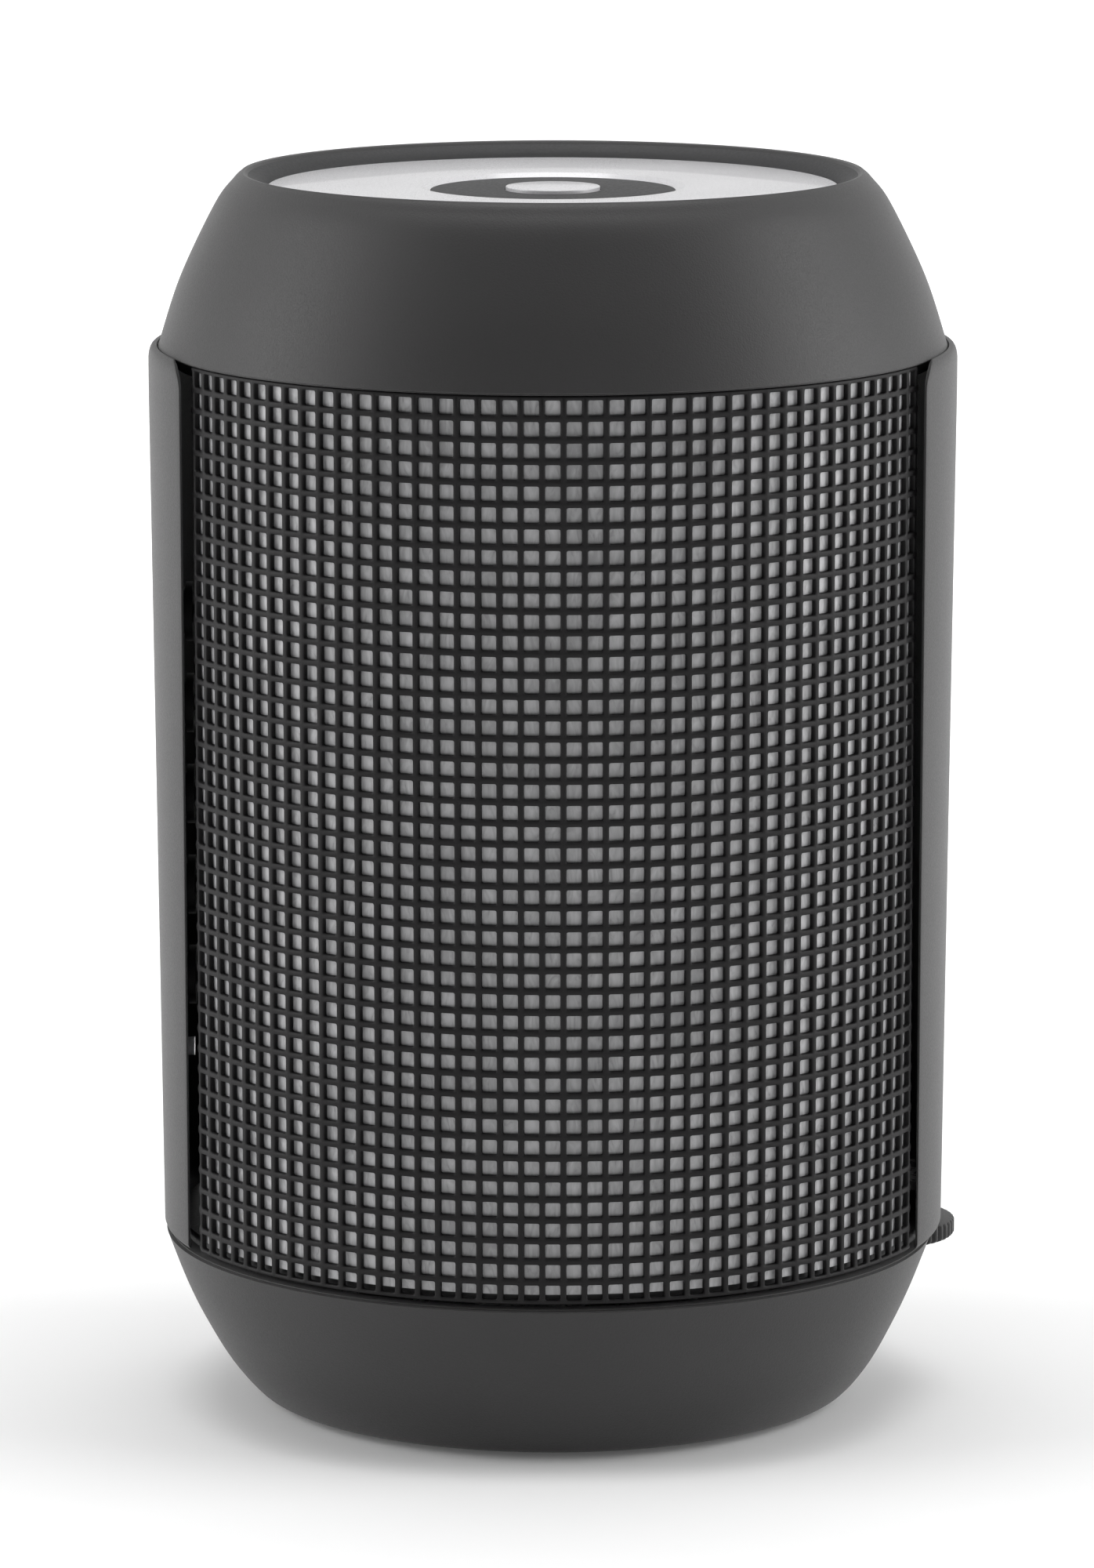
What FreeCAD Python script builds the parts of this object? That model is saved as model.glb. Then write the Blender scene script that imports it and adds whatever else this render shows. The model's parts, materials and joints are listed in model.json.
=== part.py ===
import FreeCAD, Part
import os
import Sketcher

doc = FreeCAD.newDocument("LightSpeaker")
dim = doc.addObject("Spreadsheet::Sheet", "Dim")

# Driving dimensions, in millimetres and degrees. Radii of oval pieces are half widths along X.
DRIVING = {
    "flatness": 0.92,  # depth of the oval section over its width
    "total_height": 133,
    "foot_proud": 0.5,  # how far the rubber foot stands below the bottom cap
    "foot_sunk": 0.6,
    "low_seam": 18.65,
    "high_seam": 114.3,
    "seam_gap": 0.5,
    "cap_r": 42,
    "cap_wall": 2.2,
    "rim_r": 33,
    "base_r": 31,
    "grille_r": 41.6,
    "grille_thick": 0.8,
    "grille_half_angle": 66.2,
    "slot_count": 41,
    "slot_width": 1.6,
    "slot_end": 1.6,  # solid bar at each end of a slot
    "strip_low_r": 42.15,
    "strip_top_r": 43,
    "strip_in_r": 40.5,
    "strip_half_angle": 21.1,
    "diffuser_r": 39.4,
    "diffuser_thick": 1.2,
    "cloth_thick": 0.4,
    "cabinet_r": 32,
    "cabinet_wall": 2,
    "floor_z": 23,
    "floor_thick": 2,
    "ring_thick": 1.2,
    "ring_out_r": 40.4,
    "fin_thick": 1.6,
    "fin_angle": 22.5,  # from the X axis
    "well_r": 30.6,
    "collar_wall": 1.8,
    "gasket_thick": 0.8,
    "plate_r": 30.35,
    "plate_thick": 1.2,
    "plate_top": 131.4,
    "weight_r": 15,
    "weight_thick": 2,
    "post_x": 22,
    "post_y": 12,
    "post_r": 3,
    "screw_r": 1.2,
    "screw_head_r": 2.2,
    "screw_head": 2,
    "screw_seat": 12,  # height of the shoulder that the long screws pull on
    "screw_length": 10,
    "top_screw_x": 25.2,
    "top_screw_y": 23.2,
    "board_z": 8,
    "board_thick": 1.2,
    "board_half": 16,
    "board_front": 22,
    "board_back": 28,
    "standoff_x": 13,
    "standoff_r": 2.2,
    "wheel_x": 36.6,
    "wheel_y": 2,
    "wheel_r": 7.2,
    "wheel_thick": 1.6,
    "wheel_top": 18.45,
    "wheel_ribs": 48,
    "groove_r": 0.26,
    "spindle_r": 1,
    "pot_r": 3.5,
    "pot_z": 19.6,
    "pot_height": 3,
    "key_y": 4,
    "key_r": 2.4,
    "key_low_z": 45,
    "key_pitch": 10,
    "key_count": 5,
    "key_flange_x": 39.5,
    "key_board_x": 34.6,
    "switch_height": 1.6,
    "switch_size": 4.5,
    "lens_r": 1,
    "battery_r": 9.15,
    "battery_length": 65,
    "battery_y": 17.5,
    "driver_z": 68,
    "driver_r": 22.5,
    "baffle_y": 22.5,
    "baffle_thick": 2.5,
    "baffle_half": 23.5,
    "baffle_hole_r": 19.2,
    "coil_r": 6,
    "magnet_r": 12.5,
    "yoke_z": 5.4,
    "yoke_thick": 1.5,
    "magnet_thick": 4,
    "gap_plate_thick": 1.5,
    "surround_in_r": 14.7,
    "surround_out_r": 17.3,
    "rubber_thick": 0.4,
    "small_screw_r": 0.8,
    "small_head_r": 1.7,
    "small_head": 1.3,
    "port_x": 11,
    "usb_wide": 7.6,
    "usb_high": 2.8,
    "usb_deep": 5.6,
    "aux_z": 11.7,
    "aux_r": 1.8,
    "card_wide": 9.6,
    "card_high": 1.9,
    "card_deep": 12,
    "module_high": 1.8,
    "chip_high": 1.2,
    "coil_size": 5,
    "can_r": 2.5,
    "can_high": 6,
    "diode_size": 3.4,
    "diode_thick": 1.4,
}

# Values that follow from the driving ones.
DERIVED = {
    "grille_in_r": "grille_r - grille_thick",
    "grille_low": "low_seam + seam_gap + 0.1",
    "grille_top": "high_seam - seam_gap - 0.1",
    "mid_low": "low_seam + seam_gap",
    "ring_low_z": "low_seam + 0.3",
    "fin_low": "ring_low_z + ring_thick",
    "ring_top_z": "high_seam - 0.3",
    "fin_top": "ring_top_z - ring_thick",
    "cabinet_in_r": "cabinet_r - cabinet_wall",
    "cabinet_top": "fin_top - 0.3",
    "collar_low": "cabinet_top + gasket_thick",
    "collar_r": "well_r + collar_wall",
    "base_z": "foot_proud",
    "floor_in": "foot_proud + cap_wall",
    "board_top": "board_z + board_thick",
    "wheel_low": "wheel_top - wheel_thick",
    "cabinet_floor_top": "floor_z + floor_thick",
    "driver_face": "baffle_y + baffle_thick",
    "frame_low": "driver_z - baffle_half - 1",
    "frame_high": "2 * baffle_half + 2",
    "screw_ring_r": "driver_r - 1.8",
    "magnet_z": "yoke_z + yoke_thick",
    "gap_plate_z": "magnet_z + magnet_thick",
    "gap_plate_top": "gap_plate_z + gap_plate_thick",
    "lens_z": "key_low_z - 8",
    "microphone_z": "key_low_z - 14",
}


def name_value(row, alias, text):
    """Puts one named value in the sheet."""
    dim.set("A%d" % row, alias)
    dim.set("B%d" % row, text)
    dim.setAlias("B%d" % row, alias)


for row, (alias, value) in enumerate(DRIVING.items(), start=1):
    name_value(row, alias, str(value))
for row, (alias, formula) in enumerate(DERIVED.items(), start=len(DRIVING) + 1):
    name_value(row, alias, "=" + formula)
doc.recompute()

ALIASES = sorted(list(DRIVING) + list(DERIVED), key=len, reverse=True)
pieces = []


def sized(expression):
    """Turns a formula in plain names into one that reads the sheet."""
    words = str(expression).replace("(", " ( ").replace(")", " ) ").split()
    text = " ".join("Dim." + word if word in ALIASES else word for word in words)
    for function in ("cos", "sin", "tan"):
        text = text.replace(function + " (", function + "(")
    return text


def bind(obj, **formulas):
    """Binds properties of an object to formulas."""
    for prop, formula in formulas.items():
        obj.setExpression(prop.replace("__", "."), sized(formula))
    return obj


def put(obj, x=None, y=None, z=None):
    """Binds where an object stands."""
    for axis, formula in (("x", x), ("y", y), ("z", z)):
        if formula is not None:
            bind(obj, **{"Placement__Base__" + axis: formula})
    return obj


def turn(obj, axis, degrees):
    """Turns an object about an axis through its own origin."""
    place = obj.Placement
    place.Rotation = FreeCAD.Rotation(FreeCAD.Vector(*axis), degrees)
    obj.Placement = place
    return obj


def box(name, x, y, z, length, width, height):
    block = doc.addObject("Part::Box", name)
    bind(block, Length=length, Width=width, Height=height)
    return put(block, x, y, z)


def centred_box(name, x, y, z, length, width, height):
    """A box centred on x and y that stands on z."""
    low_x = "%s - ( %s ) / 2" % (x, length)
    low_y = "%s - ( %s ) / 2" % (y, width)
    return box(name, low_x, low_y, z, length, width, height)


def cylinder(name, radius, height, x="0", y="0", z="0", along="z"):
    rod = doc.addObject("Part::Cylinder", name)
    bind(rod, Radius=radius, Height=height)
    if along == "y":
        turn(rod, (1, 0, 0), -90)
    if along == "x":
        turn(rod, (0, 1, 0), 90)
    return put(rod, x, y, z)


def oval(name, radius, z):
    """An oval outline at one height."""
    ring = doc.addObject("Part::Ellipse", name)
    bind(ring, MajorRadius=radius, MinorRadius="( %s ) * flatness" % radius)
    return put(ring, z=z)


def oval_block(name, radius, low, top):
    """A straight oval block between two heights."""
    block = doc.addObject("Part::Extrusion", name)
    block.Base = oval(name + "_outline", radius, low)
    block.DirMode = "Custom"
    block.Dir = FreeCAD.Vector(0, 0, 1)
    block.Solid = True
    bind(block, LengthFwd="( %s ) - ( %s )" % (top, low))
    return block


def oval_loft(name, rings):
    """A smooth oval block through (radius, z) rings."""
    loft = doc.addObject("Part::Loft", name)
    loft.Sections = [oval("%s_ring%d" % (name, i), r, z) for i, (r, z) in enumerate(rings)]
    loft.Solid = True
    return loft


def cut(name, base, tool):
    obj = doc.addObject("Part::Cut", name)
    obj.Base = base
    obj.Tool = tool
    return obj


def common(name, base, tool):
    obj = doc.addObject("Part::Common", name)
    obj.Base = base
    obj.Tool = tool
    return obj


def fuse(name, shapes):
    obj = doc.addObject("Part::MultiFuse", name)
    obj.Shapes = shapes
    return obj


def group(name, shapes):
    """Separate solids kept together."""
    obj = doc.addObject("Part::Compound", name)
    obj.Links = shapes
    return obj


def drill(name, base, tools):
    """Cuts several tools out of one piece."""
    return cut(name, base, group(name + "_tools", tools))


def oval_tube(name, outer, inner, low, top):
    block = oval_block(name + "_outer", outer, low, top)
    return cut(name, block, oval_block(name + "_inner", inner, "%s - 1" % low, "%s + 1" % top))


def sector(name, middle_degrees, half_angle, low, top):
    """A wedge about the Z axis, used to keep one side of a tube."""
    wedge = doc.addObject("Part::Cylinder", name)
    bind(wedge, Radius="2 * cap_r", Height="( %s ) - ( %s )" % (top, low), Angle="2 * ( %s )" % half_angle)
    put(wedge, z=low)
    bind(wedge, **{"Placement__Rotation__Angle": "%s - ( %s )" % (middle_degrees, half_angle)})
    return wedge


def turned(name, profile):
    """A body of revolution about its own Z axis from (radius, height) corners."""
    body = doc.addObject("PartDesign::Body", name)
    sketch = body.newObject("Sketcher::SketchObject", name + "_profile")
    plane = [f for f in body.Origin.OriginFeatures if f.Role == "XZ_Plane"][0]
    sketch.AttachmentSupport = [(plane, "")]
    sketch.MapMode = "FlatFace"
    rough = [evaluate(r, z) for r, z in profile]
    for i, corner in enumerate(rough):
        following = rough[(i + 1) % len(rough)]
        line = Part.LineSegment(FreeCAD.Vector(*corner, 0), FreeCAD.Vector(*following, 0))
        sketch.addGeometry(line)
    for i in range(len(profile)):
        sketch.addConstraint(Sketcher.Constraint("Coincident", i, 2, (i + 1) % len(profile), 1))
    for i, ((radius, height), corner) in enumerate(zip(profile, rough)):
        fix_corner(sketch, i, corner[0], radius, "DistanceX", -2)
        fix_corner(sketch, i, corner[1], height, "DistanceY", -1)
    feature = body.newObject("PartDesign::Revolution", name + "_turn")
    feature.Profile = sketch
    feature.ReferenceAxis = (sketch, ["V_Axis"])
    feature.Angle = 360
    return body


def evaluate(radius, height):
    """The present values of two formulas, for the first drawing of a corner."""
    return tuple(float(dim.evalExpression(sized(text).replace("Dim.", ""))) for text in (radius, height))


def fix_corner(sketch, index, value, formula, kind, axis):
    """Ties one coordinate of a corner to its formula, or to the axis when it is zero."""
    if abs(value) < 1e-9:
        sketch.addConstraint(Sketcher.Constraint("PointOnObject", index, 1, axis))
        return
    number = sketch.addConstraint(Sketcher.Constraint(kind, -1, 1, index, 1, value))
    sketch.setExpression("Constraints[%d]" % number, sized(formula))


def piece(name, obj):
    """Marks a finished sub-part."""
    obj.Label = name
    pieces.append(obj)
    return obj


def four(maker, x, y):
    """One shape at each of four corners."""
    corners = (("", ""), ("-", ""), ("", "-"), ("-", "-"))
    return [maker(i, "%s1 * %s" % (a, x), "%s1 * %s" % (b, y)) for i, (a, b) in enumerate(corners)]


# ---- caps -------------------------------------------------------------------------------------


def make_top_cap():
    """Domed cap with a raised rim, a duct collar inside and four screw posts."""
    outside = oval_loft("cap_top_form", [
        ("cap_r", "high_seam"),
        ("cap_r - 2.4", "high_seam + 7.4"),
        ("rim_r + 2.9", "total_height - 3.6"),
        ("rim_r + 0.9", "total_height - 0.9"),
        ("rim_r", "total_height"),
    ])
    hollow = oval_loft("cap_top_hollow", [
        ("cap_r - cap_wall", "high_seam - 0.1"),
        ("cap_r - 2.4 - cap_wall", "high_seam + 7.4"),
        ("rim_r + 1.2", "total_height - 5.5"),
    ])
    shell = cut("cap_top_shell", outside, hollow)
    collar = oval_block("cap_top_collar", "collar_r", "collar_low", "total_height - 3")
    posts = four(
        lambda i, x, y: cylinder("cap_top_post%d" % i, "2.5", "6", x, y, "ring_top_z"),
        "top_screw_x",
        "top_screw_y",
    )
    solid = fuse("cap_top_solid", [shell, collar] + posts)
    well = oval_block("cap_top_well", "well_r", "collar_low - 1", "total_height + 1")
    slope = oval_loft("cap_top_slope", [
        ("well_r", "plate_top - 0.8"),
        ("rim_r - 0.65", "total_height - 0.3"),
        ("rim_r - 0.5", "total_height + 0.1"),
    ])
    bores = four(
        lambda i, x, y: cylinder("cap_top_bore%d" % i, "screw_r - 0.2", "5", x, y, "ring_top_z - 0.1"),
        "top_screw_x",
        "top_screw_y",
    )
    piece("top_cap", drill("top_cap", solid, [well, slope] + bores))


def make_bottom_cap():
    """Bowl with its floor, screw posts, board standoffs, port holes and the wheel slot."""
    outside = oval_loft("cap_low_form", [
        ("base_r", "base_z"),
        ("base_r + 1.6", "base_z + 0.8"),
        ("cap_r - 6.6", "base_z + 4.1"),
        ("cap_r - 4", "base_z + 8.5"),
        ("cap_r - 2", "base_z + 12.7"),
        ("cap_r", "low_seam"),
    ])
    hollow = oval_loft("cap_low_hollow", [
        ("base_r + 0.4", "floor_in"),
        ("cap_r - 4 - cap_wall", "base_z + 8.5"),
        ("cap_r - 2 - cap_wall", "base_z + 12.7"),
        ("cap_r - cap_wall", "low_seam + 0.1"),
    ])
    shell = cut("cap_low_shell", outside, hollow)
    post_height = "ring_low_z - base_z - 1"
    posts = four(
        lambda i, x, y: cylinder("cap_low_post%d" % i, "post_r", post_height, x, y, "base_z + 1"),
        "post_x",
        "post_y",
    )
    standoff_height = "board_z - base_z - 1"
    standoffs = four(
        lambda i, x, y: cylinder(
            "cap_low_standoff%d" % i, "standoff_r", standoff_height, x, y, "base_z + 1"
        ),
        "standoff_x",
        "standoff_x",
    )
    solid = fuse("cap_low_solid", [shell] + posts + standoffs)
    seats = four(
        lambda i, x, y: cylinder("cap_low_seat%d" % i, "screw_head_r + 0.2", "screw_seat", x, y, "0"),
        "post_x",
        "post_y",
    )
    bores = four(
        lambda i, x, y: cylinder("cap_low_bore%d" % i, "screw_r + 0.15", "20", x, y, "0"),
        "post_x",
        "post_y",
    )
    pilots = four(
        lambda i, x, y: cylinder("cap_low_pilot%d" % i, "small_screw_r", "board_z", x, y, "board_z - 4"),
        "standoff_x",
        "standoff_x",
    )
    foot_recess = oval_block("cap_low_recess", "base_r - 2", "0", "base_z + foot_sunk")
    slot = cylinder("cap_low_slot", "wheel_r + 0.4", "5", "wheel_x", "wheel_y", "wheel_low - 0.35")
    usb_hole = port_hole(
        "cap_low_usb", "0 - port_x", "usb_wide + 1.4", "board_top + usb_high / 2", "usb_high + 1.6"
    )
    aux_hole = cylinder("cap_low_aux", "aux_r + 1.2", "12", "0", "27", "aux_z", along="y")
    card_hole = port_hole(
        "cap_low_card", "port_x", "card_wide + 3", "board_top + card_high / 2", "card_high + 0.6"
    )
    tools = seats + bores + pilots + [foot_recess, slot, usb_hole, aux_hole, card_hole]
    piece("bottom_cap", drill("bottom_cap", solid, tools))


def port_hole(name, x, width, middle, height):
    """A flat hole through the back of the bottom cap."""
    return centred_box(name, x, "33", "%s - ( %s ) / 2" % (middle, height), width, "12", height)


def make_foot():
    """Flat rubber pad that the speaker stands on, over the heads of the long screws."""
    piece("foot_pad", oval_block("foot_pad", "base_r - 2.1", "0", "base_z + foot_sunk"))


# ---- middle -----------------------------------------------------------------------------------


def slots(name):
    """Tall radial slots, evenly spread over one grille panel."""
    boxes = []
    for i in range(DRIVING["slot_count"]):
        slot = box(
            "%s%d" % (name, i),
            "0",
            "0",
            "grille_low + slot_end",
            "slot_width",
            "cap_r + 2",
            "grille_top - grille_low - 2 * slot_end",
        )
        turn_by = "( %d - ( slot_count - 1 ) / 2 ) * 2 * grille_half_angle / slot_count" % i
        bind(slot, **{"Placement__Rotation__Angle": "180 + " + turn_by})
        bind(slot, **{
            "Placement__Base__x": "slot_width / 2 * cos ( %s )" % turn_by,
            "Placement__Base__y": "slot_width / 2 * sin ( %s )" % turn_by,
        })
        boxes.append(slot)
    return group(name, boxes)


def make_grilles():
    """Open-work panels before and behind, between the side strips."""
    tube = oval_tube("grille_tube", "grille_r", "grille_in_r", "grille_low", "grille_top")
    front = common(
        "grille_sector", tube, sector("grille_wedge", "270", "grille_half_angle", "0", "total_height")
    )
    panel = piece("front_grille", cut("front_grille", front, slots("grille_slots")))
    copy = doc.addObject("Part::Compound", "rear_grille")
    copy.Links = [panel]
    piece("rear_grille", turn(copy, (0, 0, 1), 180))


def make_diffuser():
    """Pearl light diffuser close behind the front grille."""
    tube = oval_tube("diffuser_tube", "diffuser_r", "diffuser_r - diffuser_thick", "fin_low", "fin_top")
    wedge = sector("diffuser_wedge", "270", "grille_half_angle - 1", "0", "total_height")
    piece("front_diffuser", common("front_diffuser", tube, wedge))


def make_cloth():
    """Thin acoustic cloth behind the rear grille."""
    tube = oval_tube(
        "cloth_tube", "grille_in_r - 0.1", "grille_in_r - 0.1 - cloth_thick", "fin_low", "fin_top"
    )
    wedge = sector("cloth_wedge", "90", "grille_half_angle - 1", "0", "total_height")
    piece("rear_cloth", common("rear_cloth", tube, wedge))


def strip(name, middle):
    """One blank side strip, a little proud of the caps and tapering downwards."""
    form = oval_loft(name + "_form", [
        ("strip_low_r", "mid_low"),
        ("strip_top_r", "high_seam - 4"),
        ("strip_top_r - 0.4", "high_seam + 0.4"),
    ])
    form.Ruled = True
    inside = oval_block(name + "_inside", "strip_in_r", "0", "total_height")
    shell = cut(name + "_shell", form, inside)
    lip = oval_block(name + "_lip", "cap_r + 0.1", "high_seam - 0.2", "total_height")
    trimmed = cut(name + "_trimmed", shell, lip)
    wedge = sector(name + "_wedge", middle, "strip_half_angle", "0", "total_height")
    return common(name + "_sector", trimmed, wedge)


def key_z(i):
    return "key_low_z + %d * key_pitch" % i


def make_strips():
    """Left strip with its key holes, lens hole and microphone hole, and the plain right strip."""
    holes = [
        cylinder("key_hole%d" % i, "key_r + 0.15", "10", "0 - 45", "key_y", key_z(i), along="x")
        for i in range(DRIVING["key_count"])
    ]
    holes.append(cylinder("lens_hole", "lens_r + 0.05", "10", "0 - 45", "key_y", "lens_z", along="x"))
    holes.append(cylinder("mic_hole", "0.6", "10", "0 - 45", "key_y", "microphone_z", along="x"))
    piece("left_strip", drill("left_strip", strip("left_blank", "180"), holes))
    piece("right_strip", strip("right_strip", "0"))


def fin(name, angle):
    """One upright rib of the cabinet, centred on the gap between a strip and a panel."""
    beside_x = "fin_thick / 2 * sin ( %s )" % angle
    beside_y = "0 - fin_thick / 2 * cos ( %s )" % angle
    blade = box(name, beside_x, beside_y, "fin_low", "strip_in_r", "fin_thick", "fin_top - fin_low")
    return bind(blade, Placement__Rotation__Angle=angle)


def driver_block(name, y, depth, inset):
    """A block round the driver, as large as the baffle less an inset all round."""
    low_x = "%s - baffle_half" % inset
    width = "2 * baffle_half - 2 * %s" % inset
    return box(name, low_x, y, "frame_low + %s" % inset, width, depth, "frame_high - 2 * %s" % inset)


def make_cabinet():
    """Sealed oval sound cabinet with its floor, upright ribs, bosses and driver frame."""
    outside = oval_block("cabinet_outside", "cabinet_r", "fin_low", "cabinet_top")
    angles = ("fin_angle", "180 - fin_angle", "180 + fin_angle", "360 - fin_angle")
    fins = [fin("cabinet_fin%d" % i, angle) for i, angle in enumerate(angles)]
    reach = oval_block("cabinet_reach", "strip_in_r - 0.1", "0", "total_height")
    ribs = common("cabinet_ribs", fuse("cabinet_blades", fins), reach)
    frame = driver_block("cabinet_frame", "baffle_y - 12", "12", "0")
    bosses = four(
        lambda i, x, y: cylinder(
            "cabinet_boss%d" % i, "post_r", "floor_z - ring_low_z + 1", x, y, "ring_low_z"
        ),
        "post_x",
        "post_y",
    )
    key_span = "( key_count - 1 ) * key_pitch"
    key_pad = box("cabinet_key_pad", "0 - key_board_x + 1", "key_y - 3", "key_low_z", "3", "6", key_span)
    shelf = box(
        "cabinet_shelf", "cabinet_r - 1.5", "wheel_y - 4", "pot_z + pot_height - 1.2", "2.2", "8", "1.2"
    )
    solid = fuse("cabinet_solid", [outside, ribs, frame, key_pad, shelf])
    above = oval_block("cabinet_room", "cabinet_in_r", "cabinet_floor_top", "total_height")
    below = oval_block("cabinet_skirt", "cabinet_in_r", "0", "floor_z")
    seat = oval_block("cabinet_gasket_seat", "cabinet_r + 0.1", "cabinet_top", "total_height")
    mouth = driver_block("cabinet_mouth", "0", "60", "cabinet_wall")
    flat = driver_block("cabinet_flat", "baffle_y", "60", "0")
    hollow = drill("cabinet_hollow", solid, [above, below, seat, mouth, flat])
    joined = fuse("cabinet_joined", [hollow] + bosses)
    thread_depth = "floor_z - ring_low_z"
    threads = four(
        lambda i, x, y: cylinder("cabinet_thread%d" % i, "screw_r", thread_depth, x, y, "ring_low_z - 0.2"),
        "post_x",
        "post_y",
    )
    piece("cabinet", drill("cabinet", joined, threads))


def make_rings():
    """Dark rings that close the light space above and below."""
    upper = oval_tube("upper_ring_blank", "ring_out_r", "collar_r + 0.2", "fin_top", "ring_top_z")
    holes = four(
        lambda i, x, y: cylinder("upper_ring_hole%d" % i, "screw_r", "4", x, y, "fin_top - 1"),
        "top_screw_x",
        "top_screw_y",
    )
    piece("upper_ring", drill("upper_ring", upper, holes))
    lower = oval_tube("lower_ring_blank", "ring_out_r", "cabinet_in_r", "ring_low_z", "fin_low")
    hole = cylinder("lower_ring_hole", "pot_r + 0.4", "4", "wheel_x", "wheel_y", "ring_low_z - 1")
    piece("lower_ring", cut("lower_ring", lower, hole))


def make_gasket():
    """Foam ring between the cabinet and the duct collar of the top cap."""
    piece("top_gasket", oval_tube("top_gasket", "cabinet_r", "well_r", "cabinet_top", "collar_low"))


# ---- passive radiator -------------------------------------------------------------------------


def make_radiator():
    """Plate, its weight underneath and the sloping rubber surround."""
    plate = oval_block("radiator_disc", "plate_r", "plate_top - plate_thick", "plate_top")
    dish = oval_block("radiator_dish", "0.4 * plate_r", "plate_top - 0.3", "plate_top + 1")
    piece("radiator_plate", cut("radiator_plate", plate, dish))
    weight_z = "plate_top - plate_thick - weight_thick"
    piece("radiator_weight", cylinder("radiator_weight", "weight_r", "weight_thick", z=weight_z))
    outside = oval_loft("surround_outside", [
        ("well_r", "plate_top - 0.8"),
        ("rim_r - 0.65", "total_height - 0.3"),
    ])
    inside = oval_loft("surround_inside", [
        ("plate_r + 0.1", "plate_top - 0.9"),
        ("plate_r + 0.1", "plate_top - 0.3"),
        ("rim_r - 1", "total_height - 0.2"),
    ])
    piece("radiator_surround", cut("radiator_surround", outside, inside))


# ---- loudspeaker driver -----------------------------------------------------------------------


def face_back(body):
    """Turns a body so that its own Z axis points along +Y from the back of the magnet."""
    turn(body, (1, 0, 0), -90)
    return put(body, z="driver_z")


def ring_holes(name, radius, length, y):
    """Four screw holes round the driver, along Y."""
    return [
        cylinder(
            "%s%d" % (name, i),
            radius,
            length,
            "%d * screw_ring_r * cos ( 45 )" % a,
            y,
            "driver_z + %d * screw_ring_r * sin ( 45 )" % b,
            along="y",
        )
        for i, (a, b) in enumerate(((1, 1), (-1, 1), (-1, -1), (1, -1)))
    ]


def make_baffle():
    """Flat board that carries the driver."""
    board = driver_block("baffle_blank", "baffle_y", "baffle_thick", "0")
    mouth = cylinder("baffle_mouth", "baffle_hole_r", "10", "0", "baffle_y - 2", "driver_z", along="y")
    holes = ring_holes("baffle_hole", "small_screw_r", "10", "baffle_y - 2")
    piece("driver_baffle", drill("driver_baffle", board, [mouth] + holes))


def driver_ring(name, inner, outer, low, top):
    """A plain turned ring about the driver's axis."""
    profile = [(inner, low), (outer, low), (outer, top), (inner, top)]
    return piece(name, face_back(turned(name, profile)))


def screw_set(name, heads, shanks):
    """Like screws kept together, each a head and a shank."""
    screws = [fuse("%s%d" % (name, i), [head, shank]) for i, (head, shank) in enumerate(zip(heads, shanks))]
    return piece(name, group(name, screws))


def make_gasket_and_basket():
    """Foam ring under the driver's flange, and the pressed basket with four windows."""
    blank = cylinder("gasket_blank", "driver_r", "rubber_thick", "0", "driver_face", "driver_z", along="y")
    mouth = cylinder("gasket_mouth", "baffle_hole_r", "4", "0", "driver_face - 1", "driver_z", along="y")
    holes = ring_holes("gasket_hole", "small_screw_r + 0.3", "4", "driver_face - 1")
    piece("driver_gasket", drill("driver_gasket", blank, [mouth] + holes))

    neck_r = "coil_r + 1.2"
    flange_z = "driver_face + rubber_thick"
    basket = face_back(turned("basket_turned", [
        (neck_r, "gap_plate_top"),
        ("magnet_r", "gap_plate_top"),
        ("baffle_hole_r - 0.3", "driver_face - 1"),
        ("baffle_hole_r - 0.3", flange_z),
        ("driver_r", flange_z),
        ("driver_r", flange_z + " + 1"),
        ("surround_out_r + 0.1", flange_z + " + 1"),
        ("surround_out_r + 0.1", flange_z + " - 1"),
        ("magnet_r - 0.5", "gap_plate_top + 1"),
        (neck_r, "gap_plate_top + 1"),
    ]))
    side_windows = cylinder("basket_side_windows", "2.6", "60", "0 - 30", "18.5", "driver_z", along="x")
    end_windows = cylinder("basket_end_windows", "2.6", "60", "0", "18.5", "driver_z - 30")
    holes = ring_holes("basket_hole", "small_screw_r + 0.3", "6", "driver_face - 1")
    piece("driver_basket", drill("driver_basket", basket, [side_windows, end_windows] + holes))


def make_magnet():
    """Ferrite ring between the yoke and the gap plate."""
    driver_ring("driver_top_plate", "coil_r + 0.9", "magnet_r", "gap_plate_z", "gap_plate_top")
    driver_ring("driver_magnet", "coil_r + 1.6", "magnet_r", "magnet_z", "gap_plate_z")
    piece("driver_yoke", face_back(turned("driver_yoke", [
        ("0", "yoke_z"),
        ("magnet_r", "yoke_z"),
        ("magnet_r", "magnet_z"),
        ("coil_r - 0.4", "magnet_z"),
        ("coil_r - 0.4", "gap_plate_top"),
        ("0", "gap_plate_top"),
    ])))


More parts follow.
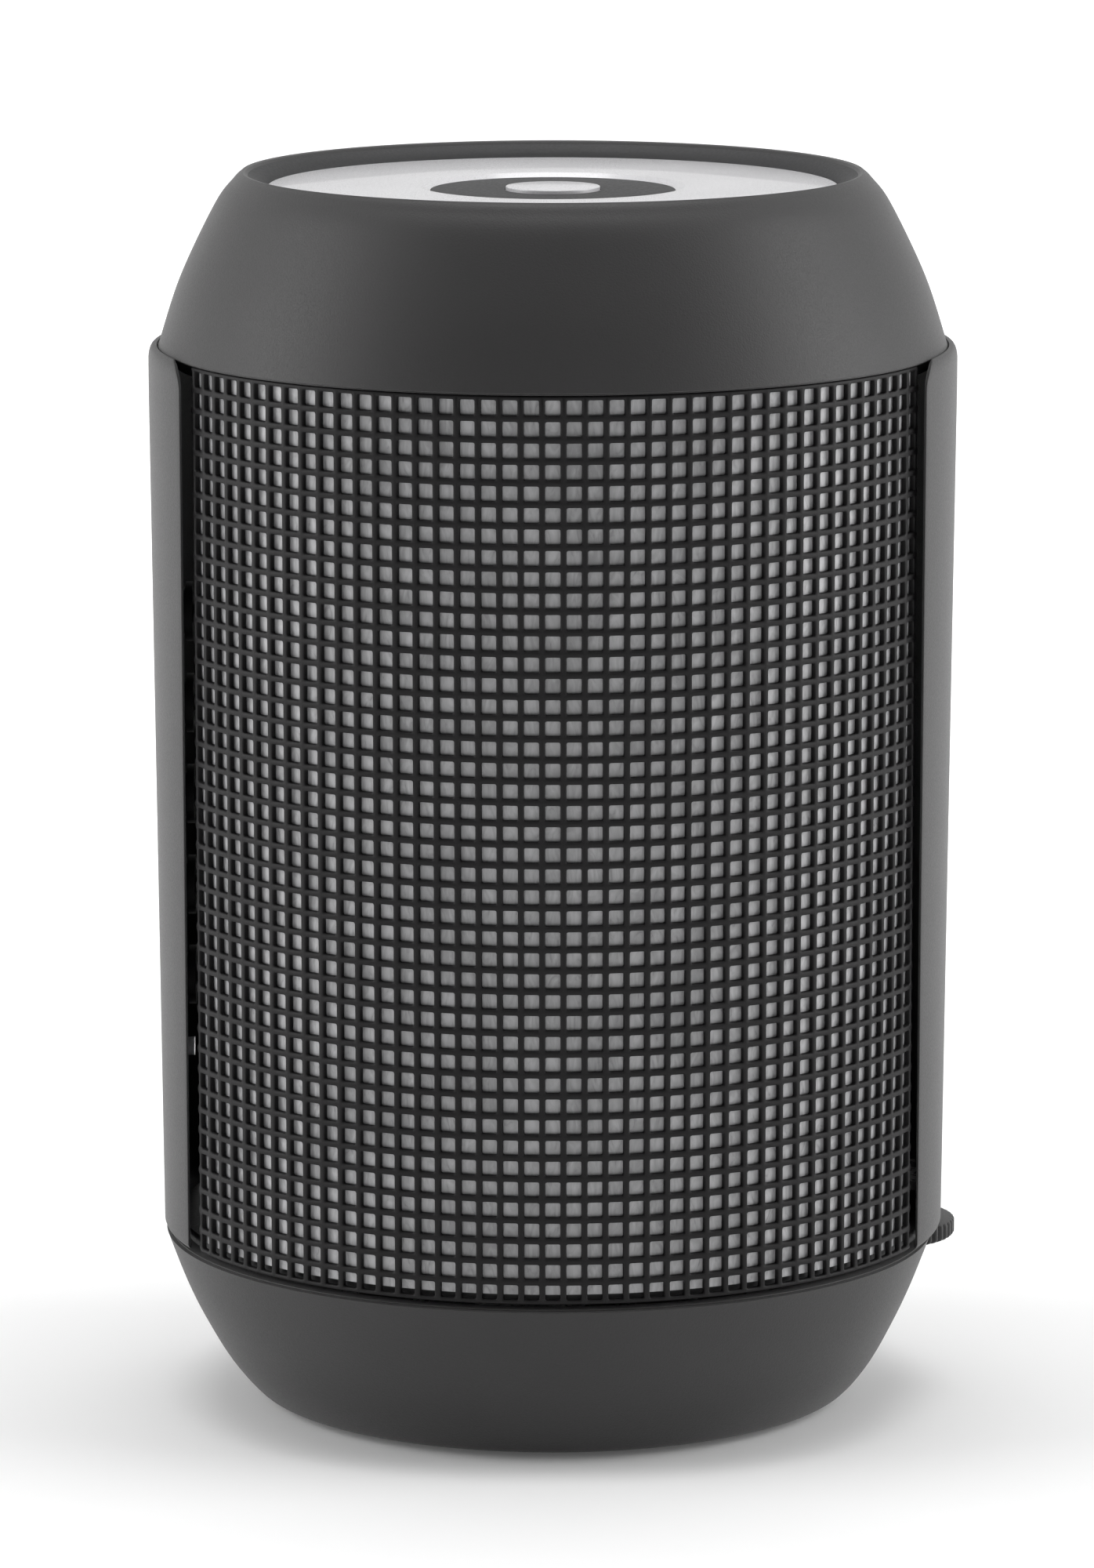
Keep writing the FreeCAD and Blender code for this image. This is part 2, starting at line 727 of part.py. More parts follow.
def make_moving_parts():
    """Pulp cone with its dust cap, and the coil that drives it."""
    cone_edge = "surround_in_r - 0.1"
    piece("driver_cone", face_back(turned("driver_cone", [
        ("coil_r", "gap_plate_top + 0.6"),
        ("coil_r + 0.25", "gap_plate_top + 0.6"),
        ("coil_r + 0.25", "driver_face - 5.4"),
        (cone_edge + " - 0.7", "driver_face + 0.9"),
        (cone_edge, "driver_face + 0.9"),
        (cone_edge, "driver_face + 1.3"),
        (cone_edge + " - 0.9", "driver_face + 1.3"),
        ("coil_r + 0.3", "driver_face - 4.6"),
        ("coil_r + 0.3", "driver_face - 3.4"),
        ("coil_r - 1.6", "driver_face - 1.8"),
        ("0", "driver_face - 1.2"),
        ("0", "driver_face - 1.6"),
        ("coil_r - 1.7", "driver_face - 2.2"),
        ("coil_r", "driver_face - 3.6"),
    ])))
    driver_ring("voice_coil", "coil_r", "coil_r + 0.5", "gap_plate_z - 1.5", "gap_plate_top + 0.6")


def make_soft_rings():
    """Half-roll surround of the cone and the corrugated spider behind it."""
    roll_r = "( surround_in_r + surround_out_r ) / 2"
    edge = "driver_face + 0.9"
    piece("driver_surround", face_back(turned("driver_surround", [
        ("surround_in_r", edge),
        (roll_r + " - 0.8", edge + " + 0.7"),
        (roll_r, edge + " + 1"),
        (roll_r + " + 0.8", edge + " + 0.7"),
        ("surround_out_r", edge),
        ("surround_out_r", edge + " + rubber_thick"),
        (roll_r + " + 0.95", edge + " + 1"),
        (roll_r, edge + " + 1 + rubber_thick"),
        (roll_r + " - 0.95", edge + " + 1"),
        ("surround_in_r", edge + " + rubber_thick"),
    ])))
    low, high = "gap_plate_top + 3", "gap_plate_top + 3.5"
    piece("driver_spider", face_back(turned("driver_spider", [
        ("coil_r + 0.4", low),
        ("coil_r + 2.6", high),
        ("coil_r + 4.2", low),
        ("coil_r + 6.6", high),
        ("coil_r + 6.6", high + " + 0.3"),
        ("coil_r + 4.2", low + " + 0.3"),
        ("coil_r + 2.6", high + " + 0.3"),
        ("coil_r + 0.4", low + " + 0.3"),
    ])))


def make_driver():
    """The whole driver and the screws that hold it to the baffle."""
    make_gasket_and_basket()
    make_magnet()
    make_moving_parts()
    make_soft_rings()
    flange_top = "driver_face + rubber_thick + 1"
    heads = ring_holes("driver_screw_head", "small_head_r", "small_head", flange_top)
    shanks = ring_holes("driver_screw_shank", "small_screw_r", "4", flange_top + " - 4")
    screw_set("driver_screws", heads, shanks)


# ---- light ------------------------------------------------------------------------------------


def make_diode(name, angle, z):
    """One diode flat against the bent board; the angle runs round the oval from the front."""
    diode = box(name, "0", "0", z, "diode_size", "diode_thick", "diode_size")
    facing = "atan ( flatness * tan ( %d ) )" % angle
    reach = "( cabinet_r + 0.4 )"
    bind(diode, **{
        "Placement__Rotation__Angle": facing,
        "Placement__Base__x": "%s * sin ( %d ) - diode_size / 2 * cos ( %s ) + diode_thick * sin ( %s )"
        % (reach, angle, facing, facing),
        "Placement__Base__y": (
            "0 - %s * flatness * cos ( %d )" % (reach, angle)
            + " - diode_size / 2 * sin ( %s ) - diode_thick * cos ( %s )" % (facing, facing)
        ),
    })
    return diode


def make_light():
    """Flexible board round the front of the cabinet with rows of light-emitting diodes."""
    tube = oval_tube("light_tube", "cabinet_r + 0.3", "cabinet_r", "cabinet_floor_top", "cabinet_top - 4")
    piece(
        "light_board",
        common("light_board", tube, sector("light_wedge", "270", "62", "0", "total_height")),
    )
    diodes = [
        make_diode("diode%d_%d" % (column + 2, row), 24 * column, "cabinet_floor_top + 7 + 12 * %d" % row)
        for column in range(-2, 3)
        for row in range(7)
    ]
    piece("light_diodes", group("light_diodes", diodes))


# ---- power and electronics --------------------------------------------------------------------


def make_battery():
    """Upright cell in a half-round cradle on the cabinet floor."""
    centre = ("0", "0 - battery_y")
    piece("battery", cylinder("battery", "battery_r", "battery_length", *centre, "cabinet_floor_top + 1"))
    outer = cylinder("cradle_outer", "battery_r + 1.2", "40", *centre, "cabinet_floor_top")
    room = cylinder("cradle_room", "battery_r + 0.05", "60", *centre, "cabinet_floor_top + 1")
    front = box("cradle_front", "0 - 20", "0 - battery_y - 20", "cabinet_floor_top + 1", "40", "20", "60")
    keep = oval_block("cradle_keep", "cabinet_in_r - 0.1", "0", "total_height")
    half = drill("cradle_half", outer, [room, front])
    piece("battery_cradle", common("battery_cradle", half, keep))


def on_board(name, x, y, width, depth, height):
    """A flat component on the main board."""
    return centred_box(name, x, y, "board_top", width, depth, height)


def make_main_board():
    """Board on standoffs in the bottom cap, its chips and its screws."""
    depth = "board_front + board_back"
    plate = box(
        "main_board_blank", "0 - board_half", "0 - board_front", "board_z",
        "2 * board_half", depth, "board_thick",
    )
    holes = four(
        lambda i, x, y: cylinder("main_board_hole%d" % i, "small_screw_r + 0.2", "6", x, y, "board_z - 2"),
        "standoff_x",
        "standoff_x",
    )
    piece("main_board", drill("main_board", plate, holes))
    piece("radio_module", on_board("radio_module", "0 - 3.5", "0 - 12", "14", "12", "module_high"))
    piece("board_chips", group("board_chips", [
        on_board("chip_amplifier", "7.2", "0 - 10", "6", "6", "chip_high"),
        on_board("chip_charger", "6", "2", "4", "4", "chip_high"),
        on_board("chip_memory", "0 - 4", "4", "5", "5", "chip_high"),
    ]))
    piece("board_coils", group("board_coils", [
        on_board("coil%d" % i, "board_half - 4.5", y, "coil_size", "coil_size", "3")
        for i, y in enumerate(("0 - 3", "4"))
    ]))
    piece("board_capacitors", group("board_capacitors", [
        cylinder("capacitor%d" % i, "can_r", "can_high", "5 - board_half", y, "board_top")
        for i, y in enumerate(("5", "0 - 2"))
    ]))
    heads = four(
        lambda i, x, y: cylinder("board_screw_head%d" % i, "small_head_r", "small_head", x, y, "board_top"),
        "standoff_x",
        "standoff_x",
    )
    shanks = four(
        lambda i, x, y: cylinder(
            "board_screw_shank%d" % i, "small_screw_r", "4.7", x, y, "board_top - 4.7"
        ),
        "standoff_x",
        "standoff_x",
    )
    screw_set("board_screws", heads, shanks)


def make_ports():
    """Charging, audio and card sockets at the back of the main board."""
    usb_y = "board_back - 1"
    shell = on_board("usb_shell", "0 - port_x", usb_y, "usb_wide", "usb_deep", "usb_high")
    mouth_z = "board_top + 0.4"
    mouth = centred_box(
        "usb_mouth", "0 - port_x", usb_y + " + 0.8", mouth_z, "usb_wide - 0.8", "usb_deep", "usb_high - 0.8"
    )
    tongue = centred_box(
        "usb_tongue", "0 - port_x", usb_y, "board_top + usb_high / 2 - 0.3",
        "usb_wide / 2", "usb_deep", "0.6",
    )
    piece("usb_socket", fuse("usb_socket", [cut("usb_hollow", shell, mouth), tongue]))
    block = on_board("aux_block", "0", "board_back - 3", "6", "11", "2 * ( aux_z - board_top )")
    nose = cylinder("aux_nose", "aux_r + 0.7", "1.4", "0", "board_back + 2.5", "aux_z", along="y")
    bore = cylinder("aux_bore", "aux_r", "20", "0", "board_back - 7", "aux_z", along="y")
    piece("aux_socket", cut("aux_socket", fuse("aux_solid", [block, nose]), bore))
    card_y = "board_back - 5"
    case = on_board("card_case", "port_x", card_y, "card_wide", "card_deep", "card_high")
    gap = centred_box(
        "card_gap", "port_x", card_y + " + 1.5", "board_top + 0.5",
        "card_wide - 0.6", "card_deep", "card_high - 1",
    )
    piece("card_socket", cut("card_socket", case, gap))


def make_wheel():
    """Ribbed thumbwheel at the right seam, its spindle, potentiometer and small board."""
    centre = ("wheel_x", "wheel_y")
    disc = cylinder("wheel_disc", "wheel_r", "wheel_thick", *centre, "wheel_low")
    grooves = []
    for i in range(DRIVING["wheel_ribs"]):
        angle = "( %d * 360 / wheel_ribs )" % i
        groove_x = "wheel_x + ( wheel_r + 0.06 ) * cos %s" % angle
        groove_y = "wheel_y + ( wheel_r + 0.06 ) * sin %s" % angle
        grooves.append(
            cylinder("wheel_groove%d" % i, "groove_r", "wheel_thick + 2", groove_x, groove_y, "wheel_low - 1")
        )
    grooves.append(cylinder("wheel_bore", "spindle_r", "4", *centre, "wheel_low - 1"))
    piece("volume_wheel", drill("volume_wheel", disc, grooves))
    piece(
        "wheel_spindle",
        cylinder("wheel_spindle", "spindle_r", "pot_z + 2 - wheel_low", *centre, "wheel_low"),
    )
    body = cylinder("pot_body", "pot_r", "pot_height", *centre, "pot_z")
    hole = cylinder("pot_hole", "spindle_r + 0.06", "2.2", *centre, "pot_z - 0.1")
    piece("wheel_potentiometer", cut("wheel_potentiometer", body, hole))
    piece(
        "wheel_board",
        box("wheel_board", "cabinet_r + 0.1", "wheel_y - 5", "pot_z + pot_height", "7.6", "10", "1"),
    )


# ---- keys -------------------------------------------------------------------------------------


def make_key(name, form, z):
    """A round cap that follows the strip's outside, a flange behind it and a post."""
    cap = cylinder(name + "_cap", "key_r", "6", "0 - key_flange_x - 6", "key_y", z, along="x")
    top = common(name + "_top", cap, form)
    flange = cylinder(name + "_flange", "key_r + 0.8", "0.8", "0 - key_flange_x", "key_y", z, along="x")
    post = cylinder(name + "_post", "0.9", "3.7", "0 - key_flange_x + 0.1", "key_y", z, along="x")
    piece(name, fuse(name, [top, flange, post]))


def make_switch(name, z):
    """A square switch with a round hole over its dome."""
    face_x = "0 - key_board_x - switch_height"
    block = box(
        name + "_block", face_x, "key_y - switch_size / 2", z + " - switch_size / 2",
        "switch_height", "switch_size", "switch_size",
    )
    hole = cylinder(name + "_hole", "1.2", "1.1", face_x + " - 0.1", "key_y", z, along="x")
    return cut(name, block, hole)


def make_keys():
    """Push keys in the left strip, with a switch for each on the key board."""
    form = oval_loft("key_form", [("strip_low_r + 0.1", "mid_low"), ("strip_top_r + 0.1", "high_seam - 4")])
    names = ("light_key", "volume_down_key", "play_key", "volume_up_key", "power_key")
    for i, name in enumerate(names):
        make_key(name, form, key_z(i))
    switches = [make_switch("switch%d" % i, key_z(i)) for i in range(len(names))]
    piece("key_switches", group("key_switches", switches))
    board_x = "0 - key_board_x"
    length = "( key_count - 1 ) * key_pitch + 24"
    piece("key_board", box("key_board", board_x, "key_y - 5", "key_low_z - 18", "1", "10", length))
    lens = cylinder("lens_rod", "lens_r", "5", "0 - 44", "key_y", "lens_z", along="x")
    piece("status_lens", common("status_lens", lens, form))
    piece(
        "status_diode",
        box("status_diode", board_x + " - 0.8", "key_y - 0.8", "lens_z - 0.8", "0.8", "1.6", "1.6"),
    )
    piece(
        "microphone",
        cylinder("microphone", "2", "1.6", board_x + " - 1.6", "key_y", "microphone_z", along="x"),
    )


# ---- case screws ------------------------------------------------------------------------------


def make_case_screws():
    """Long screws through the bottom cap and short ones that hold the top cap."""
    heads = four(
        lambda i, x, y: cylinder(
            "low_head%d" % i, "screw_head_r", "screw_head", x, y, "screw_seat - screw_head"
        ),
        "post_x",
        "post_y",
    )
    shanks = four(
        lambda i, x, y: cylinder("low_shank%d" % i, "screw_r", "screw_length", x, y, "screw_seat"),
        "post_x",
        "post_y",
    )
    screw_set("bottom_screws", heads, shanks)
    top_heads = four(
        lambda i, x, y: cylinder("top_head%d" % i, "1.9", "1.6", x, y, "fin_top - 1.6"),
        "top_screw_x",
        "top_screw_y",
    )
    top_shanks = four(
        lambda i, x, y: cylinder("top_shank%d" % i, "screw_r - 0.2", "5.5", x, y, "fin_top"),
        "top_screw_x",
        "top_screw_y",
    )
    screw_set("top_screws", top_heads, top_shanks)


for make in (
    make_top_cap,
    make_bottom_cap,
    make_foot,
    make_grilles,
    make_diffuser,
    make_cloth,
    make_strips,
    make_cabinet,
    make_rings,
    make_gasket,
    make_radiator,
    make_baffle,
    make_driver,
    make_light,
    make_battery,
    make_main_board,
    make_ports,
    make_wheel,
    make_keys,
    make_case_screws,
):
    make()

doc.recompute()

for obj in doc.Objects:
    if "Invalid" in obj.State or "Error" in obj.State:
        raise RuntimeError("%s did not compute: %s" % (obj.Name, obj.State))

os.makedirs("parts", exist_ok=True)
for obj in pieces:
    if obj.Shape.isNull() or not obj.Shape.isValid() or not obj.Shape.Solids:
        raise RuntimeError("%s has no valid solid" % obj.Label)
    obj.Shape.exportStep("parts/%s.step" % obj.Label)
    box_of = obj.Shape.BoundBox
    print("%-20s solids %2d  volume %9.1f  x %.2f..%.2f  y %.2f..%.2f  z %.2f..%.2f" % (
        obj.Label, len(obj.Shape.Solids), obj.Shape.Volume,
        box_of.XMin, box_of.XMax, box_of.YMin, box_of.YMax, box_of.ZMin, box_of.ZMax,
    ))
print("%d sub-parts" % len(pieces))
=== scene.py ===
import json
import math

import bmesh
import bpy
from bpy.props import FloatProperty, FloatVectorProperty, IntProperty, PointerProperty
from bpy.types import Operator, Panel, PropertyGroup
from mathutils import Matrix, Vector


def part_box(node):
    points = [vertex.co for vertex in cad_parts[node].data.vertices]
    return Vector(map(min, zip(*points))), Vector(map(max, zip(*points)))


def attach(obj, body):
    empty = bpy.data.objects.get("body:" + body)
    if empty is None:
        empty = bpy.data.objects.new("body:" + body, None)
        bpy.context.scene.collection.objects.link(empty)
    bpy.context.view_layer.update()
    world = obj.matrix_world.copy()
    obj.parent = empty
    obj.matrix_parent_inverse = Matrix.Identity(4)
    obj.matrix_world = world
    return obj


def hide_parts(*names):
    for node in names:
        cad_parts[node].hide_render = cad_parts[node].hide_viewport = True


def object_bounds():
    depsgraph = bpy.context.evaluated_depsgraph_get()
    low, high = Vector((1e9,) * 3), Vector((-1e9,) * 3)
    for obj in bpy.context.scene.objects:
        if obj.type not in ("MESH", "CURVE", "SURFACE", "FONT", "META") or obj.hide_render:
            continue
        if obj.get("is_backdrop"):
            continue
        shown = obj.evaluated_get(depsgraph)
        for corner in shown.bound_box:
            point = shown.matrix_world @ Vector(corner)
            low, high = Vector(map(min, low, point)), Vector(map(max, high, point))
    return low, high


bl_info = {
    "name": "Light Speaker",
    "version": (1, 0, 0),
    "blender": (4, 5, 0),
    "location": "3D View > Sidebar > Speaker",
    "description": "Builds the looks of a small barrel-shaped light speaker round its engineering frame",
    "category": "Object",
}

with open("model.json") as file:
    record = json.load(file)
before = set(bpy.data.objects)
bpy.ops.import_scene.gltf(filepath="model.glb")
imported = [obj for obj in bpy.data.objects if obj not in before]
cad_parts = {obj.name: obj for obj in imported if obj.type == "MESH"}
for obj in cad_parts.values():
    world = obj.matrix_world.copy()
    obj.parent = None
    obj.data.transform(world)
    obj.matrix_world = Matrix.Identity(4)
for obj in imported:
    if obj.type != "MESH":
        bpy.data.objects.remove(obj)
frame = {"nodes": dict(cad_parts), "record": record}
CAD_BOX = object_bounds()
MM = 0.001
SEAM_SOFTNESS = 0.25 * MM
TURN_STEPS = 192
ARC_STEPS = 400
CORNER_POINTS = 3
RING_POINTS = 4 * CORNER_POINTS


def reach(node, axis):
    """Half the extent of a node along one axis."""
    low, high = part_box(node)
    return (high[axis] - low[axis]) / 2


CAP_TOP_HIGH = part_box("top_cap")[1].z
CAP_TOP_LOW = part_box("top_gasket")[1].z + 1.0 * MM
CAP_LOW_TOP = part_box("lower_ring")[0].z - 0.3 * MM
CAP_R = reach("top_cap", 0)
FLATNESS = reach("top_cap", 1) / CAP_R
BASE_Z = 0.5 * MM
LATTICE_R = 41.6 * MM
PLATE_R = reach("radiator_plate", 0)
PLATE_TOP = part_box("radiator_plate")[1].z
WHEEL_LOW, WHEEL_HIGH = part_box("volume_wheel")
KEYS = ("light_key", "volume_down_key", "play_key", "volume_up_key", "power_key")


class SpeakerSizes(PropertyGroup):
    """Sizes that may be changed without touching the engineering frame."""

    hole_columns: IntProperty(name="Hole columns", description="Holes across one lattice", default=42)
    hole_rows: IntProperty(name="Hole rows", description="Holes up one lattice", default=43)
    column_pitch: FloatProperty(
        name="Column pitch",
        description="Spacing of the holes round the body",
        default=2.2 * MM,
        unit="LENGTH",
    )
    bar_width: FloatProperty(
        name="Bar width",
        description="Width of a lattice bar between two holes",
        default=0.62 * MM,
        unit="LENGTH",
    )
    crowding: FloatProperty(
        name="Crowding",
        description="How far the outermost columns lean to one side",
        default=0.6 * MM,
        unit="LENGTH",
    )
    row_pitch: FloatProperty(
        name="Row pitch",
        description="Spacing of the holes up the body",
        default=2.2035 * MM,
        unit="LENGTH",
    )
    first_row: FloatProperty(
        name="First row",
        description="Height of the lowest holes' centres",
        default=20.45 * MM,
        unit="LENGTH",
    )
    hole_corner: FloatProperty(
        name="Hole corner",
        description="Corner radius of a lattice hole",
        default=0.17 * MM,
        unit="LENGTH",
    )
    bar_softness: FloatProperty(
        name="Bar softness",
        description="Rounding along the front edge of a bar",
        default=0.15 * MM,
        unit="LENGTH",
    )
    lattice_depth: FloatProperty(
        name="Lattice depth", description="Thickness of the lattice", default=0.55 * MM, unit="LENGTH"
    )
    strip_corner: FloatProperty(
        name="Strip corner",
        description="Radius of a side strip's upper corners",
        default=3.0 * MM,
        unit="LENGTH",
    )
    rib_depth: FloatProperty(
        name="Rib depth",
        description="Depth of the grooves in the thumbwheel",
        default=0.42 * MM,
        unit="LENGTH",
    )
    rib_count: IntProperty(name="Ribs", description="Grooves round the thumbwheel", default=48)


class SpeakerColours(PropertyGroup):
    """Base colours of the visible finishes."""

    shell: FloatVectorProperty(
        name="Shell",
        description="Soft-touch caps",
        default=(0.021, 0.0203, 0.0207),
        subtype="COLOR", size=3,
    )
    strip: FloatVectorProperty(
        name="Strips",
        description="Soft-touch side strips",
        default=(0.025, 0.0243, 0.0247),
        subtype="COLOR", size=3,
    )
    lattice: FloatVectorProperty(
        name="Lattice",
        description="Moulded lattice bars",
        default=(0.0065, 0.006, 0.0065),
        subtype="COLOR", size=3,
    )
    pearl: FloatVectorProperty(
        name="Pearl", description="Light diffuser", default=(0.44, 0.44, 0.45), subtype="COLOR", size=3
    )
    silver: FloatVectorProperty(
        name="Silver", description="Radiator disc", default=(0.62, 0.615, 0.63), subtype="COLOR", size=3
    )
    rubber: FloatVectorProperty(
        name="Rubber",
        description="Surround and foot",
        default=(0.03, 0.03, 0.031),
        subtype="COLOR", size=3,
    )


# ---- mesh helpers -----------------------------------------------------------------------------


def smooth_between_edges(mesh, sharp_degrees):
    """Turns the faces outwards and shades them smoothly up to every sharp edge."""
    shape = bmesh.new()
    shape.from_mesh(mesh)
    bmesh.ops.recalc_face_normals(shape, faces=shape.faces)
    for face in shape.faces:
        face.smooth = True
    for edge in shape.edges:
        edge.smooth = edge.calc_face_angle(0) < math.radians(sharp_degrees)
    shape.to_mesh(mesh)
    shape.free()


def add_piece(name, points, faces, material, sharp_degrees=40):
    """Makes one mesh piece with its finish."""
    mesh = bpy.data.meshes.new(name)
    mesh.from_pydata(points, [], faces)
    mesh.materials.append(material)
    mesh.validate()
    smooth_between_edges(mesh, sharp_degrees)
    piece = bpy.data.objects.new(name, mesh)
    bpy.context.scene.collection.objects.link(piece)
    return piece


def curve_through(knots, steps):
    """A smooth curve through a few points."""
    ends = [knots[0]] + list(knots) + [knots[-1]]
    curve = []
    for a, b, c, d in zip(ends, ends[1:], ends[2:], ends[3:]):
        for k in range(steps):
            t = k / steps
            curve.append(tuple(
                0.5 * (
                    2 * q + (r - p) * t + (2 * p - 5 * q + 4 * r - s) * t**2 + (3 * q - p - 3 * r + s) * t**3
                )
                for p, q, r, s in zip(a, b, c, d)
            ))
    return curve + [knots[-1]]


def rounded(corners, steps=5):
    """A closed outline whose corners (x, y, radius) are turned into arcs."""
    outline = []
    for i, (x, y, radius) in enumerate(corners):
        here = Vector((x, y))
        to_last = Vector(corners[i - 1][:2]) - here
        to_next = Vector(corners[(i + 1) % len(corners)][:2]) - here
        if radius <= 0:
            outline.append((x, y))
            continue
        opening = to_last.angle(to_next)
        trim = min(radius / math.tan(opening / 2), 0.45 * to_last.length, 0.45 * to_next.length)
        start = here + to_last.normalized() * trim
        stop = here + to_next.normalized() * trim
        for k in range(steps + 1):
            t = k / steps
            point = (1 - t) ** 2 * start + 2 * t * (1 - t) * here + t**2 * stop
            outline.append(tuple(point))
    return outline


def oval_turn(outline, steps=TURN_STEPS, scoop=None):
    """Points and faces of a closed (radius, height) outline turned into an oval ring.

    A scoop takes an angle from the front and a height, and gives how far the skin is drawn in there.
    """
    points = []
    for k in range(steps):
        angle = 2 * math.pi * k / steps
        for r, z in outline:
            r -= scoop(angle, z) if scoop else 0
            points.append((r * math.sin(angle), -r * FLATNESS * math.cos(angle), z))
    count = len(outline)
    faces = []
    for k in range(steps):
        here = k * count
        there = (k + 1) % steps * count
        for i in range(count):
            j = (i + 1) % count
            faces.append((here + i, here + j, there + j, there + i))
    return points, faces


def stacked(loops):
    """Points and faces of a solid made of equal closed loops, one above another."""
    count = len(loops[0])
    points = [point for loop in loops for point in loop]
    faces = []
    for k in range(len(loops) - 1):
        for i in range(count):
            j = (i + 1) % count
            faces.append((k * count + i, k * count + j, (k + 1) * count + j, (k + 1) * count + i))
    faces.append(tuple(reversed(range(count))))
    faces.append(tuple(range((len(loops) - 1) * count, len(loops) * count)))
    return points, faces


def carve(piece, cutters):
    """Cuts simple solids out of a piece and leaves a plain mesh."""
    for cutter in cutters:
        tool = piece.modifiers.new("cut", "BOOLEAN")
        tool.operation = "DIFFERENCE"
        tool.solver = "EXACT"
        tool.object = cutter
    baked = bpy.data.meshes.new_from_object(piece.evaluated_get(bpy.context.evaluated_depsgraph_get()))
    piece.modifiers.clear()
    smooth_between_edges(baked, 30)
    piece.data = baked
    for cutter in cutters:
        bpy.data.objects.remove(cutter)
    return piece


def rod(name, radius, length, centre, axis, steps=48):
    """A plain round cutter."""
    circle = [
        (radius * math.cos(2 * math.pi * k / steps), radius * math.sin(2 * math.pi * k / steps))
        for k in range(steps)
    ]
    loops = [[(x, y, z) for x, y in circle] for z in (-length / 2, length / 2)]
    return cutter_from(name, loops, centre, axis)


def slot_bar(name, width, height, corner, length, centre, axis):
    """A long cutter with a rounded-rectangle section."""
    half_w, half_h = width / 2, height / 2
    section = rounded([
        (-half_w, -half_h, corner),
        (half_w, -half_h, corner),
        (half_w, half_h, corner),
        (-half_w, half_h, corner),
    ])
    loops = [[(x, y, z) for x, y in section] for z in (-length / 2, length / 2)]
    return cutter_from(name, loops, centre, axis)


def cutter_from(name, loops, centre, axis):
    """Places a stacked cutter so that its own height runs along an axis."""
    points, faces = stacked(loops)
    turn = Vector(axis).to_track_quat("Z", "Y").to_matrix().to_4x4()
    place = Matrix.Translation(centre) @ turn
    points = [tuple(place @ Vector(point)) for point in points]
    return add_piece(name, points, faces, bpy.data.materials["Black plastic"])


# ---- finish helpers ---------------------------------------------------------------------------


def start_finish(name):
    """A new node material with its shader and the object's own coordinates."""
    material = bpy.data.materials.new(name)
    material.use_nodes = True
    shader = material.node_tree.nodes["Principled BSDF"]
    place = material.node_tree.nodes.new("ShaderNodeTexCoord")
    return material, shader, place.outputs["Object"]


def add_noise(material, place, scale, detail=4, stretch=None, distortion=0.0):
    """Noise in the object's own coordinates, optionally stretched."""
    nodes, links = material.node_tree.nodes, material.node_tree.links
    if stretch is not None:
        mapping = nodes.new("ShaderNodeMapping")
        mapping.inputs["Scale"].default_value = stretch
        links.new(place, mapping.inputs["Vector"])
        place = mapping.outputs["Vector"]
    noise = nodes.new("ShaderNodeTexNoise")
    noise.inputs["Scale"].default_value = scale
    noise.inputs["Detail"].default_value = detail
    noise.inputs["Distortion"].default_value = distortion
    links.new(place, noise.inputs["Vector"])
    return noise.outputs["Fac"]


def between(material, factor, low, high, blend_from=0.3, blend_to=0.7):
    """Maps a factor onto a range of values."""
    nodes, links = material.node_tree.nodes, material.node_tree.links
    spread = nodes.new("ShaderNodeMapRange")
    spread.inputs["From Min"].default_value = blend_from
    spread.inputs["From Max"].default_value = blend_to
    spread.inputs["To Min"].default_value = low
    spread.inputs["To Max"].default_value = high
    links.new(factor, spread.inputs["Value"])
    return spread.outputs["Result"]


def tint(material, factor, first, second, blend_from=0.3, blend_to=0.7):
    """Blends two colours by a factor."""
    nodes, links = material.node_tree.nodes, material.node_tree.links
    ramp = nodes.new("ShaderNodeValToRGB")
    ramp.color_ramp.elements[0].position = blend_from
    ramp.color_ramp.elements[1].position = blend_to
    ramp.color_ramp.elements[0].color = (*first, 1)
    ramp.color_ramp.elements[1].color = (*second, 1)
    links.new(factor, ramp.inputs["Fac"])
    return ramp.outputs["Color"]


def roughen(material, shader, height, distance, strength=1.0):
    """Adds bump from a height."""
    nodes, links = material.node_tree.nodes, material.node_tree.links
    bump = nodes.new("ShaderNodeBump")
    bump.inputs["Strength"].default_value = strength
    bump.inputs["Distance"].default_value = distance
    links.new(height, bump.inputs["Height"])
    links.new(bump.outputs["Normal"], shader.inputs["Normal"])


def shaded(colour, factor):
    """A colour made lighter or darker."""
    return tuple(min(1.0, part * factor) for part in colour)


def plastic(name, colour, roughness, grain=9000, variation=0.08, bump=0.012 * MM, specular=0.5, sheen=0.0):
    """Moulded plastic with fine grain, slow colour drift and uneven gloss."""
    material, shader, place = start_finish(name)
    links = material.node_tree.links
    drift = add_noise(material, place, 60, 3)
    fine = add_noise(material, place, grain, 2)
    colours = tint(material, drift, shaded(colour, 1 - variation), shaded(colour, 1 + variation))
    links.new(colours, shader.inputs["Base Color"])
    gloss = between(material, fine, roughness - 0.06, roughness + 0.06)
    links.new(gloss, shader.inputs["Roughness"])
    roughen(material, shader, fine, bump)
    shader.inputs["Specular IOR Level"].default_value = specular
    shader.inputs["Sheen Weight"].default_value = sheen
    return material


def metal(name, colour, roughness, stretch=(1, 1, 1), scale=2500, spread=0.06):
    """Bare or plated metal with fine marks."""
    material, shader, place = start_finish(name)
    links = material.node_tree.links
    marks = add_noise(material, place, scale, 4, stretch)
    links.new(tint(material, marks, shaded(colour, 0.9), colour), shader.inputs["Base Color"])
    links.new(between(material, marks, roughness - spread, roughness + spread), shader.inputs["Roughness"])
    roughen(material, shader, marks, 0.003 * MM)
    shader.inputs["Metallic"].default_value = 1.0
    return material


